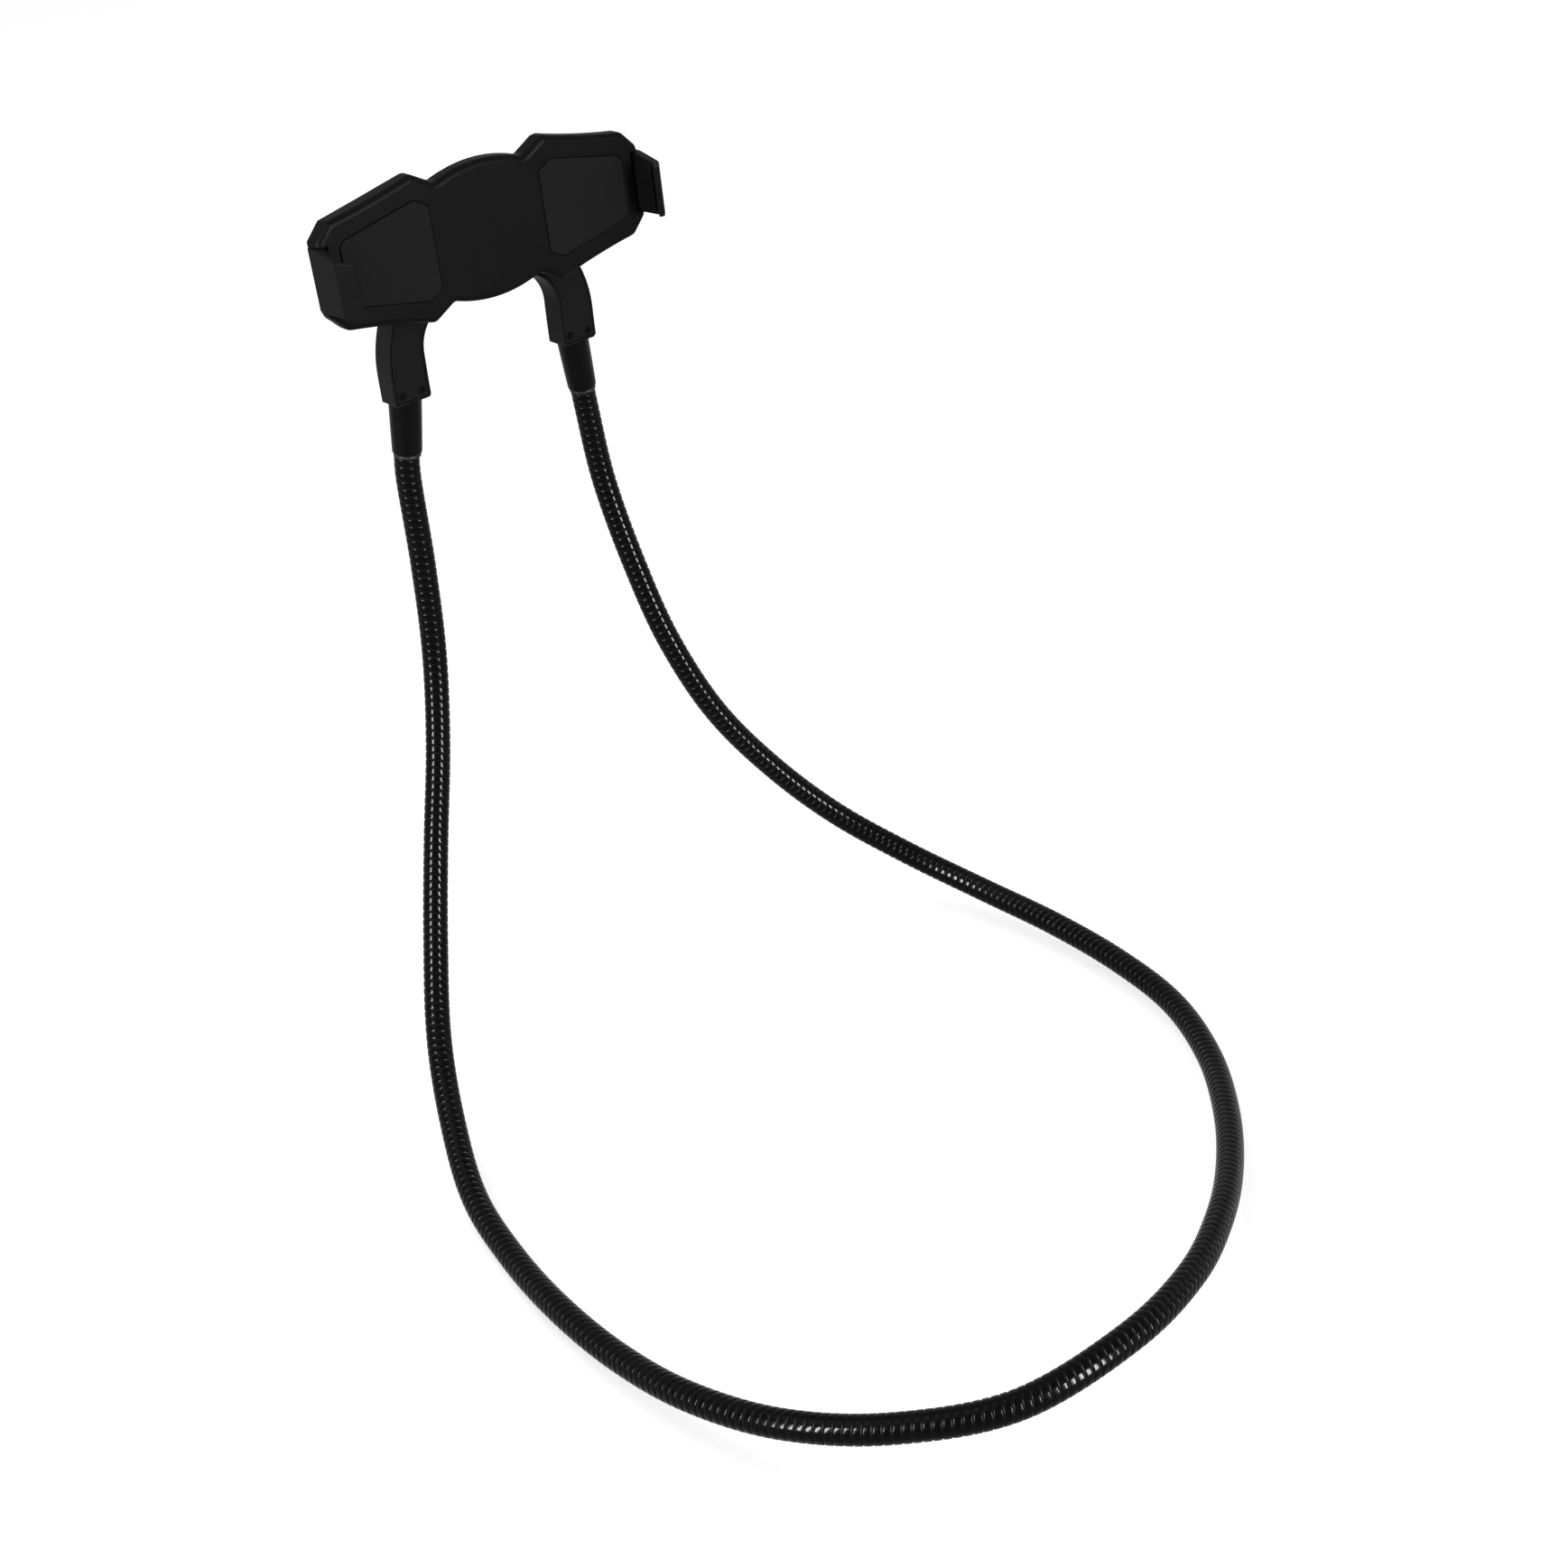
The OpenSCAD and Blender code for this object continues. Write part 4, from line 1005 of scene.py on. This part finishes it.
class HOLDER_OT_sleeves(bpy.types.Operator):
    """The sleeves below the legs, the plated rings under them, and the plugs inside"""
    bl_idname = "holder.sleeves"
    bl_label = "Sleeves and rings"

    def execute(self, context):
        look = context.scene.holder_yoke
        top, end, lip = look.sleeve_top / 2, look.sleeve_end / 2, look.sleeve_lip
        above = SLEEVE_LENGTH + SLEEVE_STUB
        curve = arc((end - lip, lip), lip, -75, 0, 5)
        sleeve = [(SEAT_RADIUS, SEAT_MOUTH), (end - lip - LIP_FLAT, 0), *curve,
                  ((end + top) / 2, SLEEVE_LENGTH / 2), (top, SLEEVE_LENGTH), (top, above),
                  (CORE_RADIUS, above), (CORE_RADIUS, SEAT_LENGTH), (SEAT_RADIUS, SEAT_LENGTH)]
        outer, long, soft = look.ring_diameter / 2, look.ring_length, RING_SOFT
        ring = [(SEAT_RADIUS, 0), (outer - soft, 0), (outer - 0.3 * soft, 0.3 * soft), (outer, soft),
                (outer, long - soft), (outer - 0.3 * soft, long - 0.3 * soft), (outer - soft, long),
                (SEAT_RADIUS, long)]
        for side, sign in SIDES.items():
            bm = turned(sleeve, 64)
            put_on_axis(bm, sign, SLEEVE_LENGTH)
            cut = cut_level(bm, CENTRE.z + LEG_FOOT_Z)
            bmesh.ops.bridge_loops(bm, edges=[g for g in cut if isinstance(g, bmesh.types.BMEdge)])
            merge(bm, JOIN_MERGE)
            finish_piece(f"{side}_sleeve_turned", bm, "sleeve_gloss", "yoke", f"{side}_sleeve")

            bm = turned(ring, 56)
            put_on_axis(bm, sign, SLEEVE_LENGTH + look.ring_length)
            finish_piece(f"{side}_ring_turned", bm, "plated_ring", "yoke", f"{side}_ring")
            dress_node(f"{side}_plug", "plug_alloy")
        return {"FINISHED"}


def smooth_curve(points, steps):
    """A Catmull-Rom curve through the points, as an array."""
    p = np.array(points, float)
    p = np.vstack([2 * p[0] - p[1], p, 2 * p[-1] - p[-2]])
    t = np.arange(steps)[:, None] / steps
    spans = [b + (c - a) * t / 2 + (a - 2.5 * b + 2 * c - d / 2) * t ** 2
             + (1.5 * (b - c) + (d - a) / 2) * t ** 3
             for a, b, c, d in zip(p, p[1:], p[2:], p[3:])]
    return np.vstack([*spans, p[-2]])


def gooseneck_line():
    """The gooseneck's centre line, its length so far at each point, and its two side directions."""
    ends = [[list(sleeve_point(sign, SLEEVE_LENGTH + d * MM)) for d in SEAT_POINTS] for sign in (-1, 1)]
    round_neck = [list(CENTRE + Vector(p) * MM) for p in NECK_ROUTE]
    line = smooth_curve(ends[0] + round_neck + ends[1][::-1], ROUTE_STEPS)
    run = np.concatenate([[0], np.cumsum(np.linalg.norm(np.diff(line, axis=0), axis=1))])
    direction = np.gradient(line, run, axis=0)
    direction /= np.linalg.norm(direction, axis=1)[:, None]
    side = np.zeros_like(line)
    last = np.array([0.0, 1.0, 0.0])
    for i, way in enumerate(direction):
        last = last - (last @ way) * way
        last = last / np.linalg.norm(last)
        side[i] = last
    return line, run, side, np.cross(direction, side)


def wound_tube(look, total):
    """A straight tube along Z, wound from a broad wire and a thin one, left-handed as the real one is."""
    pitch, outer, sides = look.pitch, look.diameter / 2, look.sides
    bm = bmesh.new()
    verts = [bm.verts.new((outer - depth * look.groove, 0, (share - SPARE_TURNS) * pitch))
             for share, depth in WINDING]
    for pair in zip(verts, verts[1:]):
        bm.edges.new(pair)
    wind_turn(bm, pitch, sides, -1)
    repeat_turn(bm, pitch, math.ceil(math.log2(total / pitch + 2 * SPARE_TURNS)))
    cut_level(bm, 0, -1)
    cut_level(bm, total)

    wound = set(bm.verts)
    bmesh.ops.create_cone(bm, cap_ends=False, segments=BORE_SIDES, radius1=look.bore / 2,
                          radius2=look.bore / 2, depth=total, matrix=Matrix.Translation((0, 0, total / 2)))
    long_edges = {e for v in bm.verts if v not in wound for e in v.link_edges if upright(e, 2)}
    bmesh.ops.subdivide_edges(bm, edges=list(long_edges), cuts=BORE_CUTS)
    for height in (0, total):
        bmesh.ops.bridge_loops(bm, edges=[e for e in bm.edges if e.is_boundary and lies_at(e, height, 2)])
    bmesh.ops.recalc_face_normals(bm, faces=bm.faces)
    return bm


class HOLDER_OT_gooseneck(bpy.types.Operator):
    """The gooseneck, wound from two wires and bent along its route round the neck"""
    bl_idname = "holder.gooseneck"
    bl_label = "Gooseneck"

    def execute(self, context):
        look = context.scene.holder_gooseneck
        line, run, side, up = gooseneck_line()
        bm = wound_tube(look, float(run[-1]))
        obj = finish_piece("gooseneck_winding", bm, "gooseneck_coat", "yoke", "gooseneck", crease=70,
                           weighted=False)
        mesh = obj.data
        co = np.zeros(len(mesh.vertices) * 3, np.float32)
        mesh.vertices.foreach_get("co", co)
        co = co.reshape(-1, 3).astype(float)
        # How high a point stands in the groove, which the coat's roughness and its painted shade in the
        # grooves follow
        height = (np.hypot(co[:, 0], co[:, 1]) - look.diameter / 2 + look.groove) / look.groove
        mesh.attributes.new("rib_height", "FLOAT", "POINT").data.foreach_set(
            "value", np.clip(height, 0, 1).astype(np.float32))
        at, across, along = (np.stack([np.interp(co[:, 2], run, way[:, k]) for k in range(3)], axis=1)
                             for way in (line, side, up))
        bent = at + (co[:, :1] * across + co[:, 1:2] * along)
        mesh.vertices.foreach_set("co", bent.astype(np.float32).ravel())
        mesh.update()
        return {"FINISHED"}


# Studio


class HOLDER_OT_stage(bpy.types.Operator):
    """Pale floor, plain soft light, and the camera at the photograph's angle"""
    bl_idname = "holder.stage"
    bl_label = "Floor, light and camera"

    def execute(self, context):
        studio = context.scene.holder_studio
        scene = context.scene
        scene.view_settings.view_transform = "Standard"
        self.make_floor(studio)
        self.make_world(scene, studio)
        self.make_lights(scene, studio)
        self.make_camera(scene, studio)
        return {"FINISHED"}

    def make_floor(self, studio):
        bm = bmesh.new()
        bmesh.ops.create_grid(bm, x_segments=1, y_segments=1, size=FLOOR_HALF)
        shift(bm, (0, 0, cad_box[0][2] - FLOOR_GAP))
        floor = loose_object("floor", bm)
        paper, tree, shader = new_material("Floor paper")
        place = add(tree, "ShaderNodeTexCoord")
        tooth = add(tree, "ShaderNodeTexNoise", Vector=place.outputs["Object"], Scale=900.0, Detail=3.0)
        give(tree, shader, Roughness=0.9, Specular_IOR_Level=0.1, Base_Color=(*studio.floor, 1),
             Normal=emboss(tree, tooth.outputs["Fac"], 0.05, 0.1), Emission_Color=(1, 1, 1, 1),
             Emission_Strength=self.seen_strength(tree, FLOOR_GLOW, 0.0))
        floor.data.materials.append(paper)

    def seen_strength(self, tree, seen, unseen):
        """A strength for rays that show the background, and another for the light that it gives."""
        path = add(tree, "ShaderNodeLightPath").outputs
        total = path["Is Camera Ray"]
        for ray in ("Is Glossy Ray", "Is Transmission Ray"):
            total = calc(tree, "MAXIMUM", total, path[ray])
        return remap(tree, total, unseen, seen)

    def make_world(self, scene, studio):
        world = scene.world or bpy.data.worlds.new("Studio")
        scene.world = world
        world.use_nodes = True
        tree = world.node_tree
        give(tree, tree.nodes["Background"], Color=(1, 1, 1, 1),
             Strength=self.seen_strength(tree, 1.0, studio.sky))

    def make_lights(self, scene, studio):
        for name, watts, size, place, only_shine in LAMPS:
            lamp = bpy.data.lights.new(name, "AREA")
            lamp.shape = "RECTANGLE"
            lamp.energy = getattr(studio, watts)
            lamp.size, lamp.size_y = size
            obj = bpy.data.objects.new(name, lamp)
            obj.location = place
            obj.rotation_mode = "QUATERNION"
            obj.rotation_quaternion = (LAMP_TARGET - Vector(place)).to_track_quat("-Z", "Y")
            obj.visible_diffuse = not only_shine
            scene.collection.objects.link(obj)

    def make_camera(self, scene, studio):
        data = bpy.data.cameras.new("Camera")
        data.lens, data.sensor_width = studio.lens, 36
        camera = bpy.data.objects.new("Camera", data)
        camera.matrix_world = Matrix.Translation(CAMERA_PLACE) @ Matrix(CAMERA_AXES).transposed().to_4x4()
        scene.collection.objects.link(camera)
        scene.camera = camera


class HOLDER_PT_pieces(bpy.types.Panel):
    """Lists the holder's pieces and the sizes and colours that go with them"""
    bl_idname = "HOLDER_PT_pieces"
    bl_label = "Neck phone holder"
    bl_space_type = "VIEW_3D"
    bl_region_type = "UI"
    bl_category = "Holder"

    def draw(self, context):
        for operator in PIECES:
            self.layout.operator(operator.bl_idname)
        for name in GROUPS:
            group = getattr(context.scene, name)
            column = self.layout.box().column()
            for prop in group.__annotations__:
                column.prop(group, prop)


GROUPS = {"holder_clamp": HolderClampLook, "holder_yoke": HolderYokeLook,
          "holder_gooseneck": HolderGooseneckLook, "holder_finish": HolderFinish,
          "holder_studio": HolderStudio}
PIECES = [HOLDER_OT_stage, HOLDER_OT_gooseneck, HOLDER_OT_sleeves, HOLDER_OT_plate, HOLDER_OT_face_pads,
          HOLDER_OT_hooks, HOLDER_OT_springs, HOLDER_OT_yoke, HOLDER_OT_swivel, HOLDER_OT_screws]


def register():
    for cls in [*GROUPS.values(), *PIECES, HOLDER_PT_pieces]:
        bpy.utils.register_class(cls)
    for name, group in GROUPS.items():
        setattr(bpy.types.Scene, name, PointerProperty(type=group))


def unregister():
    for name in GROUPS:
        delattr(bpy.types.Scene, name)
    for cls in [HOLDER_PT_pieces, *reversed(PIECES), *reversed(GROUPS.values())]:
        bpy.utils.unregister_class(cls)


def main():
    register()
    for piece in PIECES:
        getattr(bpy.ops.holder, piece.bl_idname.removeprefix("holder."))()


if __name__ == "__main__":
    main()
